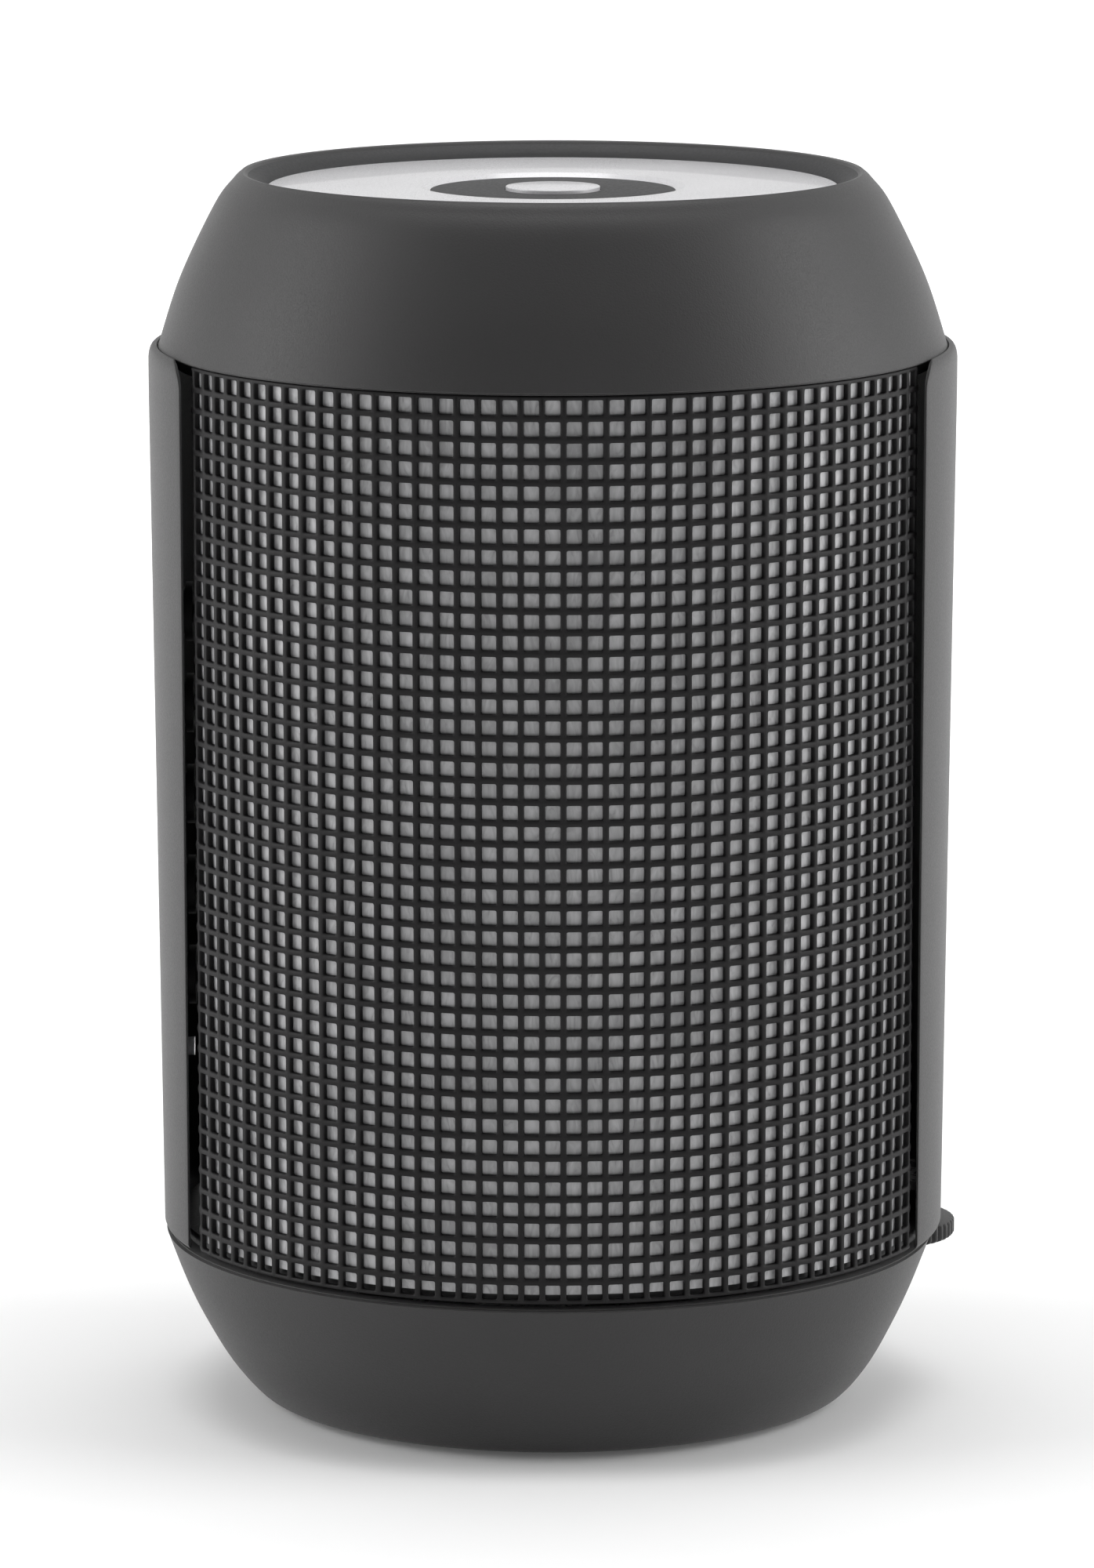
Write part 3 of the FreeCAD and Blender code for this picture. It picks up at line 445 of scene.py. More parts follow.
def silver_paint(colour):
    """Satin silver paint with fine flake."""
    material, shader, place = start_finish("Silver paint")
    links = material.node_tree.links
    flake = add_noise(material, place, 12000, 2)
    cloud = add_noise(material, place, 90, 2)
    colours = tint(material, cloud, shaded(colour, 0.95), shaded(colour, 1.04))
    links.new(colours, shader.inputs["Base Color"])
    links.new(between(material, flake, 0.24, 0.36), shader.inputs["Roughness"])
    roughen(material, shader, flake, 0.004 * MM)
    shader.inputs["Metallic"].default_value = 0.15
    shader.inputs["Coat Weight"].default_value = 0.3
    return material


def pearl_finish(colour):
    """Milky sheet with fine silky fibres lying every way."""
    material, shader, place = start_finish("Pearl diffuser")
    nodes, links = material.node_tree.nodes, material.node_tree.links
    fibres = add_noise(material, place, 700, 6, (1.0, 1.0, 0.35), 2.5)
    clouds = add_noise(material, place, 160, 3, (1.0, 1.0, 0.6), 1.0)
    blend = nodes.new("ShaderNodeMath")
    blend.operation = "MULTIPLY_ADD"
    blend.inputs[1].default_value = 0.45
    links.new(clouds, blend.inputs[0])
    thinner = nodes.new("ShaderNodeMath")
    thinner.operation = "MULTIPLY"
    thinner.inputs[1].default_value = 0.55
    links.new(fibres, thinner.inputs[0])
    links.new(thinner.outputs[0], blend.inputs[2])
    links.new(
        tint(material, blend.outputs[0], shaded(colour, 0.62), shaded(colour, 1.12), 0.38, 0.62),
        shader.inputs["Base Color"],
    )
    links.new(between(material, fibres, 0.25, 0.5), shader.inputs["Roughness"])
    roughen(material, shader, fibres, 0.05 * MM, 0.6)
    shader.inputs["Coat Weight"].default_value = 0.35
    shader.inputs["Coat Roughness"].default_value = 0.25
    return material


def cloth_finish(name, colour, thread=0.25 * MM):
    """Plain woven cloth."""
    material, shader, place = start_finish(name)
    nodes, links = material.node_tree.nodes, material.node_tree.links
    threads = []
    for direction in ("X", "Z"):
        wave = nodes.new("ShaderNodeTexWave")
        wave.bands_direction = direction
        wave.inputs["Scale"].default_value = 0.31 / thread
        wave.inputs["Distortion"].default_value = 0.4
        links.new(place, wave.inputs["Vector"])
        threads.append(wave.outputs["Fac"])
    weave = nodes.new("ShaderNodeMath")
    weave.operation = "MULTIPLY"
    links.new(threads[0], weave.inputs[0])
    links.new(threads[1], weave.inputs[1])
    colours = tint(material, weave.outputs[0], shaded(colour, 0.5), shaded(colour, 1.5))
    links.new(colours, shader.inputs["Base Color"])
    links.new(between(material, weave.outputs[0], 0.7, 0.9), shader.inputs["Roughness"])
    roughen(material, shader, weave.outputs[0], 0.05 * MM)
    shader.inputs["Sheen Weight"].default_value = 0.2
    return material


def board_finish(name, colour, track):
    """Circuit board with solder mask over faint tracks."""
    material, shader, place = start_finish(name)
    nodes, links = material.node_tree.nodes, material.node_tree.links
    cells = nodes.new("ShaderNodeTexVoronoi")
    cells.feature = "DISTANCE_TO_EDGE"
    cells.inputs["Scale"].default_value = 420
    links.new(place, cells.inputs["Vector"])
    colours = tint(material, cells.outputs["Distance"], track, colour, 0.02, 0.06)
    links.new(colours, shader.inputs["Base Color"])
    links.new(between(material, cells.outputs["Distance"], 0.35, 0.25, 0, 0.1), shader.inputs["Roughness"])
    roughen(material, shader, cells.outputs["Distance"], 0.02 * MM, 0.4)
    return material


def clear_finish():
    """Clear light pipe."""
    material, shader, place = start_finish("Clear pipe")
    links = material.node_tree.links
    haze = add_noise(material, place, 1500, 3)
    links.new(between(material, haze, 0.08, 0.2), shader.inputs["Roughness"])
    links.new(tint(material, haze, (0.85, 0.86, 0.88), (0.95, 0.95, 0.96)), shader.inputs["Base Color"])
    shader.inputs["Transmission Weight"].default_value = 0.6
    return material


def make_finishes(colours):
    """All finishes by the record's material slots."""
    shell, strip, lattice = tuple(colours.shell), tuple(colours.strip), tuple(colours.lattice)
    rubber = tuple(colours.rubber)
    return {
        "shell": plastic("Soft shell", shell, 0.52, grain=5200, bump=0.02 * MM, specular=0.42, sheen=0.12),
        "strip": plastic("Soft strip", strip, 0.52, grain=5200, bump=0.02 * MM, specular=0.42, sheen=0.12),
        "lattice": plastic("Lattice plastic", lattice, 0.5, grain=7000, bump=0.01 * MM, specular=0.22),
        "black_plastic": plastic("Black plastic", (0.012, 0.012, 0.013), 0.45, grain=4000),
        "pearl": pearl_finish(tuple(colours.pearl)),
        "cloth": cloth_finish("Acoustic cloth", (0.02, 0.02, 0.021)),
        "rubber": plastic("Rubber", rubber, 0.62, grain=3500, bump=0.02 * MM, specular=0.35),
        "silver": silver_paint(tuple(colours.silver)),
        "steel": metal("Zinc steel", (0.55, 0.55, 0.57), 0.32),
        "ferrite": plastic("Ferrite", (0.04, 0.04, 0.043), 0.6, grain=2500, variation=0.2),
        "cone_paper": plastic(
            "Cone pulp", (0.03, 0.03, 0.031), 0.7, grain=1500, variation=0.25, bump=0.05 * MM
        ),
        "copper": metal("Copper winding", (0.72, 0.33, 0.16), 0.3, (1, 12, 1), 900),
        "board_green": board_finish("Green board", (0.015, 0.10, 0.04), (0.03, 0.17, 0.07)),
        "board_dark": board_finish("Dark board", (0.006, 0.0062, 0.0065), (0.012, 0.012, 0.0125)),
        "board_white": board_finish("White board", (0.75, 0.75, 0.74), (0.62, 0.62, 0.60)),
        "diode": plastic("Diode", (0.85, 0.78, 0.35), 0.2, grain=3000, variation=0.1),
        "cell_wrap": plastic("Cell sleeve", (0.02, 0.09, 0.3), 0.25, grain=2000, variation=0.05),
        "chip_black": plastic("Chip case", (0.02, 0.02, 0.022), 0.5, grain=3500),
        "key_grey": plastic("Key plastic", shaded(strip, 1.15), 0.48, grain=5200, specular=0.42),
        "clear": clear_finish(),
        "foam": plastic(
            "Foam", (0.02, 0.02, 0.02), 0.9, grain=2600, variation=0.4, bump=0.12 * MM, specular=0.1
        ),
    }


FINISHES = {}


# ---- pieces -----------------------------------------------------------------------------------


class SPEAKER_OT_finishes(Operator):
    """Gives every engineering node a worked finish"""

    bl_idname = "speaker.finishes"
    bl_label = "Finishes"

    def execute(self, context):
        FINISHES.update(make_finishes(context.scene.speaker_colours))
        for part in frame["record"]["subparts"]:
            body = frame["nodes"][part["node"]]
            finish = FINISHES["board_dark" if part["node"] == "wheel_board" else part["material_slot"]]
            for material_slot in body.material_slots:
                material_slot.material = finish
        return {"FINISHED"}


class SPEAKER_OT_caps(Operator):
    """Domed top cap and bowl-shaped bottom cap with softened edges"""

    bl_idname = "speaker.caps"
    bl_label = "Caps"

    def execute(self, context):
        self.make_top()
        self.make_bottom()
        return {"FINISHED"}

    def make_top(self):
        """Outside curve, raised rim, sloping seat of the surround and a hollow underneath."""
        rim_r = CAP_R - 9 * MM
        wall = 2.2 * MM
        flank = curve_through([
            (CAP_R - 0.05 * MM, CAP_TOP_LOW + SEAM_SOFTNESS),
            (CAP_R - 2.4 * MM, CAP_TOP_LOW + 7.4 * MM),
            (rim_r + 2.9 * MM, CAP_TOP_HIGH - 3.6 * MM),
            (rim_r + 0.9 * MM, CAP_TOP_HIGH - 0.9 * MM),
            (rim_r + 0.1 * MM, CAP_TOP_HIGH - 0.12 * MM),
        ], 8)
        rest = rounded([
            (rim_r - 0.05 * MM, CAP_TOP_HIGH, 0),
            (rim_r - 0.45 * MM, CAP_TOP_HIGH - 0.08 * MM, 0.1 * MM),
            (rim_r - 0.65 * MM, CAP_TOP_HIGH - 0.3 * MM, 0),
            (PLATE_R + 0.35 * MM, PLATE_TOP - 0.8 * MM, 0),
            (PLATE_R + 0.35 * MM, PLATE_TOP - 2.5 * MM, 0),
            (rim_r + 1.2 * MM, CAP_TOP_HIGH - 5.5 * MM, 0),
            (CAP_R - 2.4 * MM - wall, CAP_TOP_LOW + 7.4 * MM, 0),
            (CAP_R - wall, CAP_TOP_LOW, 0),
            (CAP_R - 0.3 * MM, CAP_TOP_LOW, 0.1 * MM),
        ], 3)
        points, faces = oval_turn(flank + rest)
        cap = add_piece("cap_top", points, faces, FINISHES["shell"])
        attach(cap, "case")
        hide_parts("top_cap")

    def make_bottom(self):
        """Outside curve, base with the foot's recess, hollow inside, wheel slot and port holes."""
        base_r = CAP_R - 11 * MM
        wall = 2.2 * MM
        flank = curve_through([
            (base_r, BASE_Z + 0.02 * MM),
            (base_r + 1.6 * MM, BASE_Z + 0.8 * MM),
            (CAP_R - 6.6 * MM, BASE_Z + 4.1 * MM),
            (CAP_R - 4 * MM, BASE_Z + 8.5 * MM),
            (CAP_R - 2 * MM, BASE_Z + 12.7 * MM),
            (CAP_R - 0.05 * MM, CAP_LOW_TOP - SEAM_SOFTNESS),
        ], 8)
        rest = rounded([
            (CAP_R - 0.35 * MM, CAP_LOW_TOP, 0.1 * MM),
            (CAP_R - wall, CAP_LOW_TOP, 0),
            (CAP_R - 2 * MM - wall, BASE_Z + 12.7 * MM, 0),
            (CAP_R - 4 * MM - wall, BASE_Z + 8.5 * MM, 0),
            (base_r + 0.4 * MM, BASE_Z + wall, 0.6 * MM),
            (1 * MM, BASE_Z + wall, 0),
            (1 * MM, BASE_Z + 0.6 * MM, 0),
            (base_r - 2 * MM, BASE_Z + 0.6 * MM, 0),
            (base_r - 2 * MM, BASE_Z, 0.1 * MM),
        ], 3)

        def finger_scoop(angle, z):
            """Shallow hollow below the thumbwheel that lets a finger reach it."""
            across = max(0, 1 - (abs(angle - math.pi / 2) / math.radians(38)) ** 2) ** 2
            up = max(0, 1 - (abs(z - 15 * MM) / (13 * MM)) ** 2)
            return 0.75 * MM * across * up if z < CAP_LOW_TOP - 0.2 * MM else 0.45 * MM * across

        points, faces = oval_turn(flank + rest, scoop=finger_scoop)
        bowl = add_piece("cap_bottom", points, faces, FINISHES["shell"])
        usb_low, usb_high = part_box("usb_socket")
        aux_low, aux_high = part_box("aux_socket")
        card_low, card_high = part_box("card_socket")
        wheel = (WHEEL_LOW + WHEEL_HIGH) / 2
        cutters = [
            rod("slot_cutter", (WHEEL_HIGH.x - WHEEL_LOW.x) / 2 + 0.4 * MM, 4.3 * MM,
                (wheel.x, wheel.y, WHEEL_LOW.z + 1.5 * MM), (0, 0, 1), 96),
            slot_bar("usb_cutter", 9 * MM, 4.4 * MM, 1.2 * MM, 14 * MM,
                     ((usb_low.x + usb_high.x) / 2, 33 * MM, (usb_low.z + usb_high.z) / 2), (0, 1, 0)),
            rod("aux_cutter", 3 * MM, 14 * MM,
                ((aux_low.x + aux_high.x) / 2, 34 * MM, (aux_low.z + aux_high.z) / 2), (0, 1, 0)),
            slot_bar("card_cutter", 12.6 * MM, 2.5 * MM, 0.6 * MM, 14 * MM,
                     ((card_low.x + card_high.x) / 2, 33 * MM, (card_low.z + card_high.z) / 2), (0, 1, 0)),
        ]
        carve(bowl, cutters)
        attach(bowl, "case")
        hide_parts("bottom_cap")


class SPEAKER_OT_lattices(Operator):
    """Fine square-holed lattices, front and back"""

    bl_idname = "speaker.lattices"
    bl_label = "Lattices"

    def execute(self, context):
        sizes = context.scene.speaker_sizes
        for name, node, side in (("lattice_front", "front_grille", 1), ("lattice_rear", "rear_grille", -1)):
            points, faces = self.weave(sizes, side)
            lattice = add_piece(name, points, faces, FINISHES["lattice"], sharp_degrees=60)
            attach(lattice, "case")
            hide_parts(node)
        return {"FINISHED"}

    def arc_angles(self, radius):
        """Arc length round the oval from the front against angle, as a table."""
        table = [(0.0, 0.0)]
        step = 0.5 * math.pi / ARC_STEPS
        for k in range(1, ARC_STEPS + 1):
            angle = step * (k - 0.5)
            speed = math.hypot(radius * math.cos(angle), radius * FLATNESS * math.sin(angle))
            table.append((table[-1][0] + speed * step, step * k))
        return table

    def weave(self, sizes, side):
        """Every hole's outline at three depths, joined to the corners between the bars."""
        columns, rows = sizes.hole_columns, sizes.hole_rows
        radius = LATTICE_R
        step = 0.5 * math.pi / ARC_STEPS
        table = self.arc_angles(radius)
        pitch = sizes.column_pitch
        row_pitch = sizes.row_pitch
        low = sizes.first_row - row_pitch / 2
        half_u = pitch / 2 - sizes.bar_width / 2
        half_v = row_pitch / 2 - sizes.bar_width / 2

        def place(u, v, depth):
            """Wraps flat lattice coordinates round the oval."""
            length = abs(u)
            index = min(int(length / table[-1][0] * ARC_STEPS), ARC_STEPS - 1)
            while index > 0 and table[index][0] > length:
                index -= 1
            while index < ARC_STEPS - 1 and table[index + 1][0] <= length:
                index += 1
            part = (length - table[index][0]) / (table[index + 1][0] - table[index][0])
            angle = math.copysign(table[index][1] + part * step, u)
            normal = Vector((math.sin(angle), -math.cos(angle) / FLATNESS, 0)).normalized()
            x = radius * math.sin(angle) - normal.x * depth
            y = -radius * FLATNESS * math.cos(angle) - normal.y * depth
            return (x * side, y * side, low + v)

        def outline(grow):
            """A hole's outline about its own centre, from its lower left corner round."""
            arcs = []
            corner = sizes.hole_corner
            for k, (sx, sy) in enumerate(((-1, -1), (1, -1), (1, 1), (-1, 1))):
                start = math.pi * (1 + k / 2)
                for n in range(CORNER_POINTS):
                    angle = start + 0.25 * math.pi * n
                    arcs.append((
                        sx * (half_u - corner) + (corner + grow) * math.cos(angle),
                        sy * (half_v - corner) + (corner + grow) * math.sin(angle),
                    ))
            return arcs

        soft = sizes.bar_softness
        rings = [
            (outline(soft), 0.0),
            (outline(0.3 * soft), 0.3 * soft),
            (outline(0.0), soft),
            (outline(0.0), sizes.lattice_depth),
        ]
        points, faces = [], []
        grid = {}
        middle = columns / 2 - 1

        def across(i):
            """Where a column lies along the arc; the outer columns lean to one side."""
            return (i - middle) * pitch - sizes.crowding * ((i - middle) / (columns / 2)) ** 2

        for depth_index, depth in enumerate((0.0, sizes.lattice_depth)):
            for i in range(columns + 1):
                for j in range(rows + 1):
                    grid[depth_index, i, j] = len(points)
                    points.append(place(across(i - 0.5), j * row_pitch, depth))

        for i in range(columns):
            for j in range(rows):
                centre_u = across(i)
                centre_v = (j + 0.5) * row_pitch
                first = len(points)
                for ring, depth in rings:
                    points += [place(centre_u + u, centre_v + v, depth) for u, v in ring]
                for face_index, ring_start in ((0, first), (1, first + 3 * RING_POINTS)):
                    corners = [
                        grid[face_index, i, j],
                        grid[face_index, i + 1, j],
                        grid[face_index, i + 1, j + 1],
                        grid[face_index, i, j + 1],
                    ]
                    for k in range(4):
                        a = ring_start + CORNER_POINTS * k
                        b = ring_start + (CORNER_POINTS * (k + 1)) % RING_POINTS
                        faces.append((corners[k], a, a + 1))
                        faces.append((corners[k], a + 1, a + 2))
                        faces.append((corners[k], a + 2, b, corners[(k + 1) % 4]))
                for k in range(len(rings) - 1):
                    here = first + RING_POINTS * k
                    there = here + RING_POINTS
                    for n in range(RING_POINTS):
                        m = (n + 1) % RING_POINTS
                        faces.append((here + n, here + m, there + m, there + n))

        self.edge(points, faces, grid, place, across, sizes)
        return points, faces

    def edge(self, points, faces, grid, place, across, sizes):
        """Rounded border round the lattice, with a small knob at the end of every level bar."""
        columns, rows = sizes.hole_columns, sizes.hole_rows
        knob_reach, border = 0.55 * MM, 0.14 * MM
        swell = ((0.0, 1.0), (0.14, 0.75), (0.26, 0.2), (0.5, 0.0), (0.74, 0.2), (0.86, 0.75))
        way = [(i, 0, 0, -1) for i in range(columns)]
        way += [(columns, j, 1, 0) for j in range(rows)]
        way += [(i, rows, 0, 1) for i in range(columns, 0, -1)]
        way += [(0, j, -1, 0) for j in range(rows, 0, -1)]
        runs = []
        for k, (i, j, out_u, out_v) in enumerate(way):
            next_i, next_j = way[(k + 1) % len(way)][:2]
            run = []
            for part, knob in swell:
                column = i + part * (next_i - i)
                row = j + part * (next_j - j)
                out = border + knob * (knob_reach - border) * abs(out_u)
                u = across(column - 0.5) + out_u * out
                v = row * sizes.row_pitch + out_v * border
                run.append(len(points))
                points.append(place(u, v, 0.1 * MM))
                points.append(place(u, v, sizes.lattice_depth - 0.08 * MM))
            runs.append(run)
        for k, (i, j, _, _) in enumerate(way):
            n = (k + 1) % len(way)
            next_i, next_j = way[n][:2]
            front = [grid[0, i, j], grid[0, next_i, next_j]]
            back = [grid[1, i, j], grid[1, next_i, next_j]]
            line = runs[k] + [runs[n][0]]
            half = len(line) // 2
            for ends, lift in ((front, 0), (back, 1)):
                for a, b in zip(line[:half], line[1:half + 1]):
                    faces.append((ends[0], b + lift, a + lift))
                faces.append((ends[0], ends[1], line[half] + lift))
                for a, b in zip(line[half:], line[half + 1:]):
                    faces.append((ends[1], b + lift, a + lift))
            for a, b in zip(line, line[1:]):
                faces.append((a, b, b + 1, a + 1))


class SPEAKER_OT_sheets(Operator):
    """Milky sheet in front and black cloth behind, each close inside its lattice"""

    bl_idname = "speaker.sheets"
    bl_label = "Diffuser and cloth"

    def execute(self, context):
        sizes = context.scene.speaker_sizes
        self.bend("milky_sheet", "front_diffuser", "pearl", 1, sizes)
        self.bend("cloth_sheet", "rear_cloth", "cloth", -1, sizes)
        return {"FINISHED"}

    def bend(self, name, node, slot, side, sizes):
        """A thin sheet bent round the oval, reaching just past the outermost holes."""
        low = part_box("front_diffuser")[0].z
        top = sizes.first_row + (sizes.hole_rows - 0.5) * sizes.row_pitch - 0.15 * MM
        outer = LATTICE_R - sizes.lattice_depth - 0.12 * MM
        inner = outer - 0.5 * MM
        left, right, steps = math.radians(-65.2), math.radians(66.7), 96
        angles = [left + (right - left) * k / steps for k in range(steps + 1)]
        plan = [(outer * math.sin(a), -outer * FLATNESS * math.cos(a)) for a in angles]
        plan += [(inner * math.sin(a), -inner * FLATNESS * math.cos(a)) for a in reversed(angles)]
        points, faces = stacked([[(side * x, side * y, z) for x, y in plan] for z in (low, top)])
        sheet = add_piece(name, points, faces, FINISHES[slot])
        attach(sheet, "case")
        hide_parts(node)


class SPEAKER_OT_strips(Operator):
    """Slightly proud side strips with rounded upper corners"""

    bl_idname = "speaker.strips"
    bl_label = "Side strips"

    def execute(self, context):
        corner = context.scene.speaker_sizes.strip_corner
        for name, node, side in (("strip_left", "left_strip", -1), ("strip_right", "right_strip", 1)):
            points, faces = self.form(node, side, corner)
            strip = add_piece(name, points, faces, FINISHES["strip"])
            if side < 0:
                self.pierce(strip)
            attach(strip, "case")
            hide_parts(node)
        return {"FINISHED"}

    def form(self, node, side, corner):
        """Upright loops from the lower end to the rounded top."""
        low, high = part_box(node)
        outer_x = max(abs(low.x), abs(high.x))
        top = high.z - 0.02 * MM
        edge_x = 38.85 * MM
        lip, foot = 1.4 * MM, 0.35 * MM
        heights = [low.z, low.z + 0.12 * MM]
        heights += [low.z + foot + (top - 4 * MM - low.z) * k / 96 for k in range(97)]
        heights += [top - corner * (1 - math.sin(0.5 * math.pi * k / 10)) for k in range(10)]
        heights = sorted(h for h in heights if h < top - 0.01 * MM) + [top]
        loops = []
        for z in heights:
            rise = (z - low.z) / (top - low.z)
            radius = outer_x - 0.85 * MM * (1 - min(1, rise / 0.95))
            half_y = FLATNESS * math.sqrt(radius**2 - edge_x**2)
            if top - z < lip:
                radius -= 0.55 * MM * (1 - math.sqrt(max(0, 1 - (1 - (top - z) / lip) ** 2)))
            if z - low.z < foot:
                radius -= 0.2 * MM * (1 - (z - low.z) / foot) ** 2
            if top - z < corner:
                half_y -= corner * (1 - math.sqrt(max(0, 1 - (1 - (top - z) / corner) ** 2)))
            inner = radius - 1.0 * MM if z < CAP_TOP_LOW - 0.15 * MM else CAP_R + 0.12 * MM
            loops.append(self.section(radius, inner, half_y, z, side))
        return stacked(loops)

    def section(self, outer, inner, half_y, z, side):
        """One closed plan loop: outer face, blunted upright edges and inner face."""
        steps = 48

        def at(radius, y):
            return Vector((radius * math.sqrt(max(0, 1 - (y / (radius * FLATNESS)) ** 2)), y))

        tip = at(outer, half_y)
        inner_y = min(half_y - 0.9 * MM, FLATNESS * math.sqrt(max(0, inner**2 - tip.x**2)))
        start = at(outer, half_y - 0.5 * MM)
        stop = Vector((tip.x, max(half_y - 0.7 * MM, inner_y)))
        blunt = [(1 - t) ** 2 * start + 2 * t * (1 - t) * tip + t**2 * stop for t in (0.25, 0.5, 0.75, 1)]
        loop = [at(outer, (half_y - 0.5 * MM) * (2 * k / steps - 1)) for k in range(steps + 1)]
        loop += blunt
        loop += [at(inner, inner_y * (1 - 2 * k / steps)) for k in range(steps + 1)]
        loop += [Vector((point.x, -point.y)) for point in reversed(blunt)]
        return [(side * point.x, side * point.y, z) for point in loop]

    def pierce(self, strip):
        """Holes for the keys, the status light and the microphone."""
        x, y, depth = -42 * MM, 4 * MM, 12 * MM
        holes = [(key, 2.55 * MM, 48) for key in KEYS]
        holes += [("status_lens", 1.05 * MM, 24), ("microphone", 0.6 * MM, 24)]
        cutters = []
        for node, radius, steps in holes:
            low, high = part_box(node)
            centre = (x, y, (low.z + high.z) / 2)
            cutters.append(rod(node + "_cutter", radius, depth, centre, (1, 0, 0), steps))
        carve(strip, cutters)


class SPEAKER_OT_radiator(Operator):
    """Silver disc with a shallow round dish, and its sloping rubber surround"""

    bl_idname = "speaker.radiator"
    bl_label = "Radiator"

    def execute(self, context):
        self.make_disc()
        self.make_surround()
        return {"FINISHED"}

    def make_disc(self):
        """Disc with a wide shallow dish, a dark inlay in it and a small silver boss."""
        top = PLATE_TOP
        thick = 1.2 * MM
        dish_r, boss_r, sunk = 14 * MM, 5 * MM, 0.55 * MM
        outline = rounded([
            (0.05 * MM, top - sunk, 0),
            (0.05 * MM, top - thick, 0),
            (PLATE_R, top - thick, 0.1 * MM),
            (PLATE_R, top, 0.3 * MM),
            (dish_r, top, 0.25 * MM),
            (dish_r - 0.9 * MM, top - sunk, 0.25 * MM),
        ], 6)
        points, faces = oval_turn(outline)
        disc = add_piece("silver_disc", points, faces, FINISHES["silver"], sharp_degrees=50)
        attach(disc, "radiator")
        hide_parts("radiator_plate")
        inlay_top = top - sunk + 0.12 * MM
        for name, inner, outer, height, slot in (
            ("dish_inlay", boss_r + 0.1 * MM, dish_r - 1 * MM, inlay_top, "rubber"),
            ("disc_boss", 0.05 * MM, boss_r, top - 0.05 * MM, "silver"),
        ):
            ring = rounded([
                (inner, top - sunk - 0.05 * MM, 0),
                (outer, top - sunk - 0.05 * MM, 0),
                (outer, height, 0.1 * MM),
                (inner, height, 0),
            ], 4)
            points, faces = oval_turn(ring)
            trim = add_piece(name, points, faces, FINISHES[slot], sharp_degrees=50)
            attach(trim, "radiator")

    def make_surround(self):
        """Sloping rubber ring with one soft roll."""
        inner, outer = PLATE_R + 0.1 * MM, CAP_R - 9.68 * MM
        low, high = PLATE_TOP - 0.45 * MM, CAP_TOP_HIGH - 0.35 * MM
        upper, lower = [], []
        for k in range(13):
            t = k / 12
            roll = 0.16 * MM * math.sin(math.pi * t)
            r = inner + (outer - inner) * t
            z = low + (high - low) * t
            upper.append((r - roll, z + roll))
            lower.append((r + 0.3 * MM - 0.29 * MM * t, z - 0.3 * MM))
        points, faces = oval_turn(upper + lower[::-1])
        ring = add_piece("surround_roll", points, faces, FINISHES["rubber"])
        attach(ring, "case")
        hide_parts("radiator_surround")


class SPEAKER_OT_wheel(Operator):
    """Ribbed thumbwheel at the right seam"""

    bl_idname = "speaker.wheel"
    bl_label = "Thumbwheel"

    def execute(self, context):
        sizes = context.scene.speaker_sizes
        centre = (WHEEL_LOW + WHEEL_HIGH) / 2
        radius = (WHEEL_HIGH.x - WHEEL_LOW.x) / 2
        low, top = WHEEL_LOW.z - 0.35 * MM, WHEEL_HIGH.z
        per_rib = 8
        count = sizes.rib_count * per_rib
        levels = [
            (low, 0.95 * MM, 0.0),
            (low + 0.06 * MM, 0.55 * MM, 0.3),
            (low + 0.22 * MM, 0.2 * MM, 1.0),
            (low + 0.5 * MM, 0.0, 1.0),
            (top - 0.28 * MM, 0.0, 1.0),
            (top - 0.12 * MM, 0.04 * MM, 0.8),
            (top - 0.03 * MM, 0.16 * MM, 0.2),
            (top, 0.34 * MM, 0.0),
        ]
        loops = []
        for z, inset, rib in levels:
            loop = []
            for k in range(count):
                angle = 2 * math.pi * k / count
                groove = (0.5 - 0.5 * math.cos(angle * sizes.rib_count)) ** 2
                r = radius - inset - rib * sizes.rib_depth * groove
                loop.append((centre.x + r * math.cos(angle), centre.y + r * math.sin(angle), z))
            loops.append(loop)
        points, faces = stacked(loops)
        wheel = add_piece("thumbwheel", points, faces, FINISHES["strip"], sharp_degrees=60)
        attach(wheel, "wheel")
        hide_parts("volume_wheel")
        return {"FINISHED"}


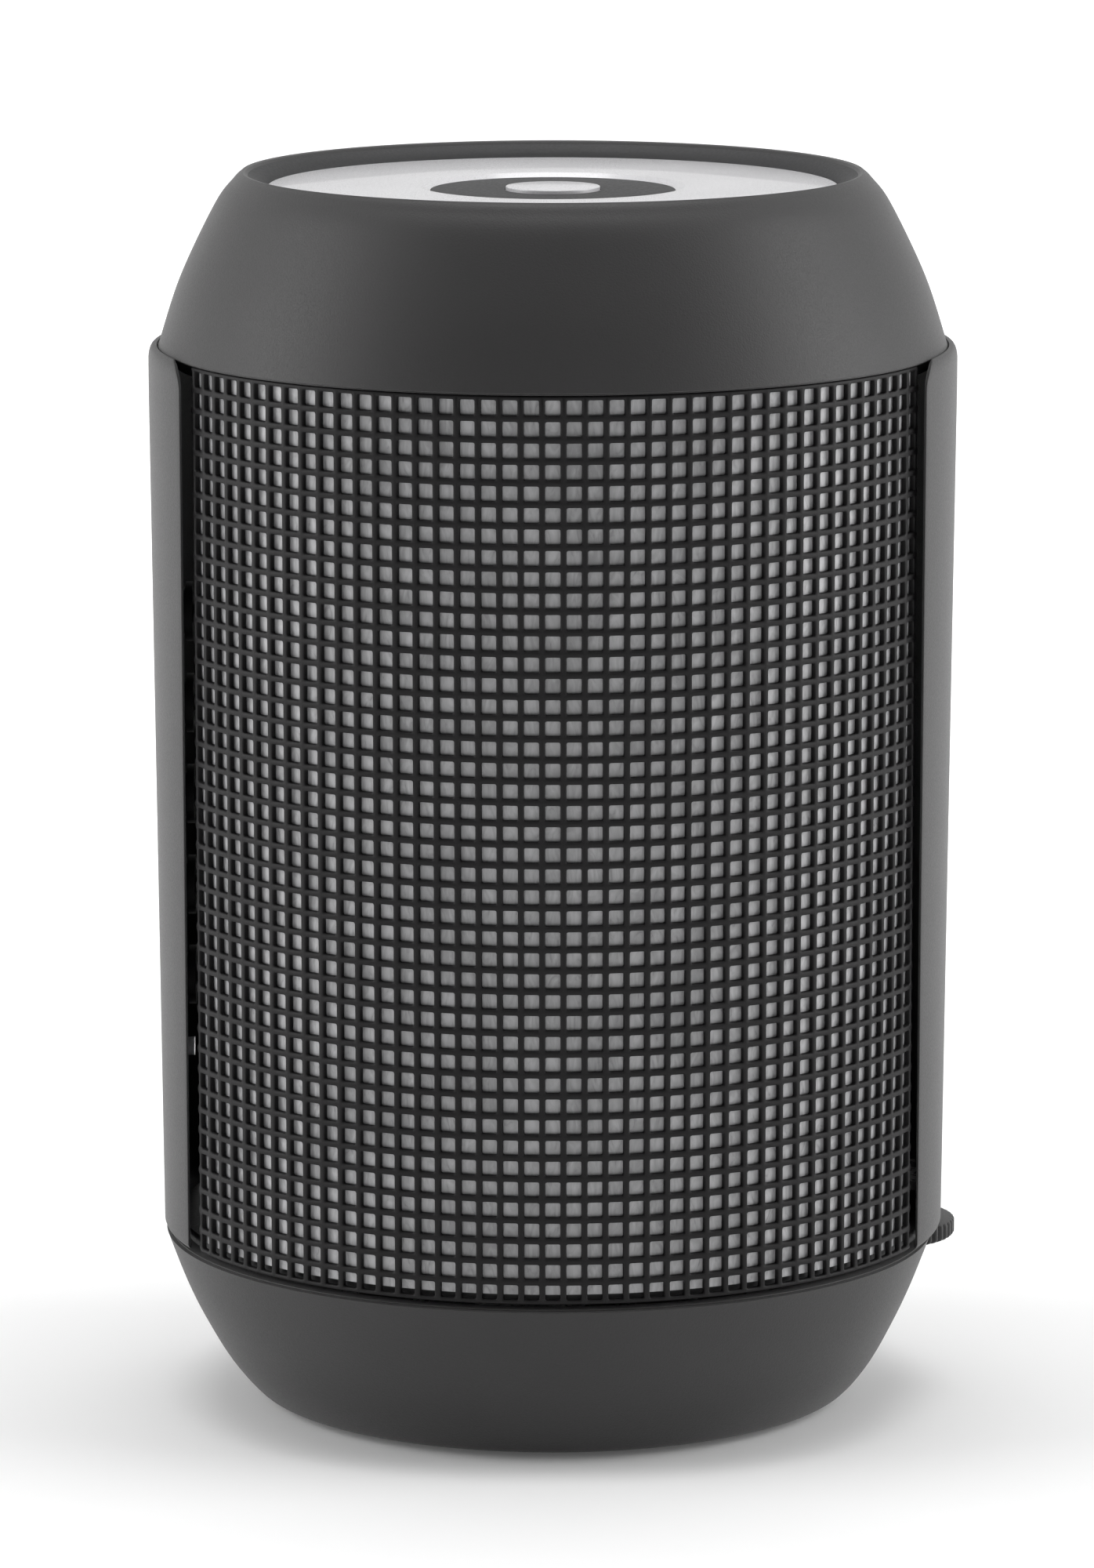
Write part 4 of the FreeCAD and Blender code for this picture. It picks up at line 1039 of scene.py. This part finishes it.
class SPEAKER_OT_stage(Operator):
    """Pale floor, backdrop, soft lights and camera"""

    bl_idname = "speaker.stage"
    bl_label = "Stage"

    def execute(self, context):
        self.make_floor()
        self.make_wall()
        self.make_lights()
        self.make_camera(context)
        return {"FINISHED"}

    def make_floor(self):
        """Pale matte table that also glows, faintly near the body and more strongly further out: painted
        light.
        """
        material, shader, place = start_finish("Pale glowing table")
        cloud = add_noise(material, place, 3, 2)
        links = material.node_tree.links
        links.new(tint(material, cloud, (0.86, 0.86, 0.86), (0.9, 0.9, 0.9)), shader.inputs["Base Color"])
        shader.inputs["Roughness"].default_value = 0.8
        shader.inputs["Specular IOR Level"].default_value = 0.2
        # Painted light: the floor glows white, weakly close to the body and more strongly further away, so
        # it reads whiter than its lighting makes it.
        shader.inputs["Emission Color"].default_value = (1, 1, 1, 1)
        distance = material.node_tree.nodes.new("ShaderNodeVectorMath")
        distance.operation = "LENGTH"
        links.new(place, distance.inputs[0])
        glow = between(material, distance.outputs["Value"], 0.06, 0.42, 0.1, 0.55)
        links.new(glow, shader.inputs["Emission Strength"])
        size = 3.0
        corners = [(-size, -size, 0), (size, -size, 0), (size, size, 0), (-size, size, 0)]
        floor = add_piece("table", corners, [(0, 1, 2, 3)], material)
        floor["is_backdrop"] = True

    def make_wall(self):
        """Glowing pale wall bent round the back and the sides."""
        material = bpy.data.materials.new("Pale wall")
        material.use_nodes = True
        nodes, links = material.node_tree.nodes, material.node_tree.links
        nodes.clear()
        glow = nodes.new("ShaderNodeEmission")
        output = nodes.new("ShaderNodeOutputMaterial")
        place = nodes.new("ShaderNodeTexCoord")
        split = nodes.new("ShaderNodeSeparateXYZ")
        links.new(place.outputs["Object"], split.inputs["Vector"])
        strength = between(material, split.outputs["Z"], 1.15, 0.7, 0.12, 0.25)
        links.new(strength, glow.inputs["Strength"])
        links.new(glow.outputs["Emission"], output.inputs["Surface"])
        radius, height, steps = 1.5, 2.2, 48
        points, faces = [], []
        for k in range(steps + 1):
            angle = math.radians(-25 + 230 * k / steps)
            for z in (-0.01, height):
                points.append((radius * math.cos(angle), radius * math.sin(angle), z))
        for k in range(steps):
            faces.append((2 * k, 2 * k + 2, 2 * k + 3, 2 * k + 1))
        wall = add_piece("wall", points, faces, material)
        wall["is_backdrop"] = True

    def make_lights(self):
        """Two tall side lights, a top light and a weak front fill."""
        self.area("left_light", (-0.85, -0.1, 0.3), (0.5, 0.9), 5.0)
        self.area("right_light", (0.85, -0.1, 0.3), (0.5, 0.9), 6.0)
        self.area("top_light", (0, 0.1, 1.3), (1.0, 1.0), 11.0)
        self.area("front_fill", (0.0, -1.4, 0.7), (1.2, 1.2), 1.2)
        world = bpy.data.worlds.new("Studio")
        world.use_nodes = True
        world.node_tree.nodes["Background"].inputs["Color"].default_value = (1, 1, 1, 1)
        world.node_tree.nodes["Background"].inputs["Strength"].default_value = 0.1
        bpy.context.scene.world = world

    def area(self, name, place, size, power):
        """One rectangular soft light aimed at the middle of the body."""
        lamp = bpy.data.lights.new(name, "AREA")
        lamp.shape = "RECTANGLE"
        lamp.size, lamp.size_y = size
        lamp.energy = power
        holder = bpy.data.objects.new(name, lamp)
        holder.location = place
        aim = Vector((0, 0, 0.065)) - Vector(place)
        holder.rotation_euler = aim.to_track_quat("-Z", "Y").to_euler()
        bpy.context.scene.collection.objects.link(holder)

    def make_camera(self, context):
        """Long lens a little above the rim, looking slightly down."""
        camera = bpy.data.cameras.new("view")
        camera.lens = 169.1
        camera.sensor_width = 36
        camera.shift_x = -0.00375
        camera.clip_start = 0.05
        holder = bpy.data.objects.new("view", camera)
        holder.location = (0, -777.7 * MM, 218.2 * MM)
        holder.rotation_euler = (math.radians(90 - 11.015), 0, 0)
        context.scene.collection.objects.link(holder)
        context.scene.camera = holder
        context.scene.view_settings.view_transform = "Standard"


class SPEAKER_PT_panel(Panel):
    """Lists the speaker's build steps and values"""

    bl_label = "Light speaker"
    bl_space_type = "VIEW_3D"
    bl_region_type = "UI"
    bl_category = "Speaker"

    def draw(self, context):
        for operator in STEPS:
            self.layout.operator(operator.bl_idname)
        for group in (context.scene.speaker_sizes, context.scene.speaker_colours):
            column = self.layout.column()
            for name in group.__annotations__:
                column.prop(group, name)


STEPS = (
    SPEAKER_OT_finishes,
    SPEAKER_OT_caps,
    SPEAKER_OT_lattices,
    SPEAKER_OT_sheets,
    SPEAKER_OT_strips,
    SPEAKER_OT_radiator,
    SPEAKER_OT_wheel,
    SPEAKER_OT_stage,
)
CLASSES = (SpeakerSizes, SpeakerColours) + STEPS + (SPEAKER_PT_panel,)


def register():
    for item in CLASSES:
        bpy.utils.register_class(item)
    bpy.types.Scene.speaker_sizes = PointerProperty(type=SpeakerSizes)
    bpy.types.Scene.speaker_colours = PointerProperty(type=SpeakerColours)


def unregister():
    del bpy.types.Scene.speaker_colours
    del bpy.types.Scene.speaker_sizes
    for item in reversed(CLASSES):
        bpy.utils.unregister_class(item)


def main():
    register()
    bpy.ops.speaker.finishes()
    bpy.ops.speaker.caps()
    bpy.ops.speaker.lattices()
    bpy.ops.speaker.sheets()
    bpy.ops.speaker.strips()
    bpy.ops.speaker.radiator()
    bpy.ops.speaker.wheel()
    bpy.ops.speaker.stage()
    boxes = {"cad": CAD_BOX, "visual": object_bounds()}
    {name: [list(corner) for corner in box] for name, box in boxes.items()}


if __name__ == "__main__":
    main()
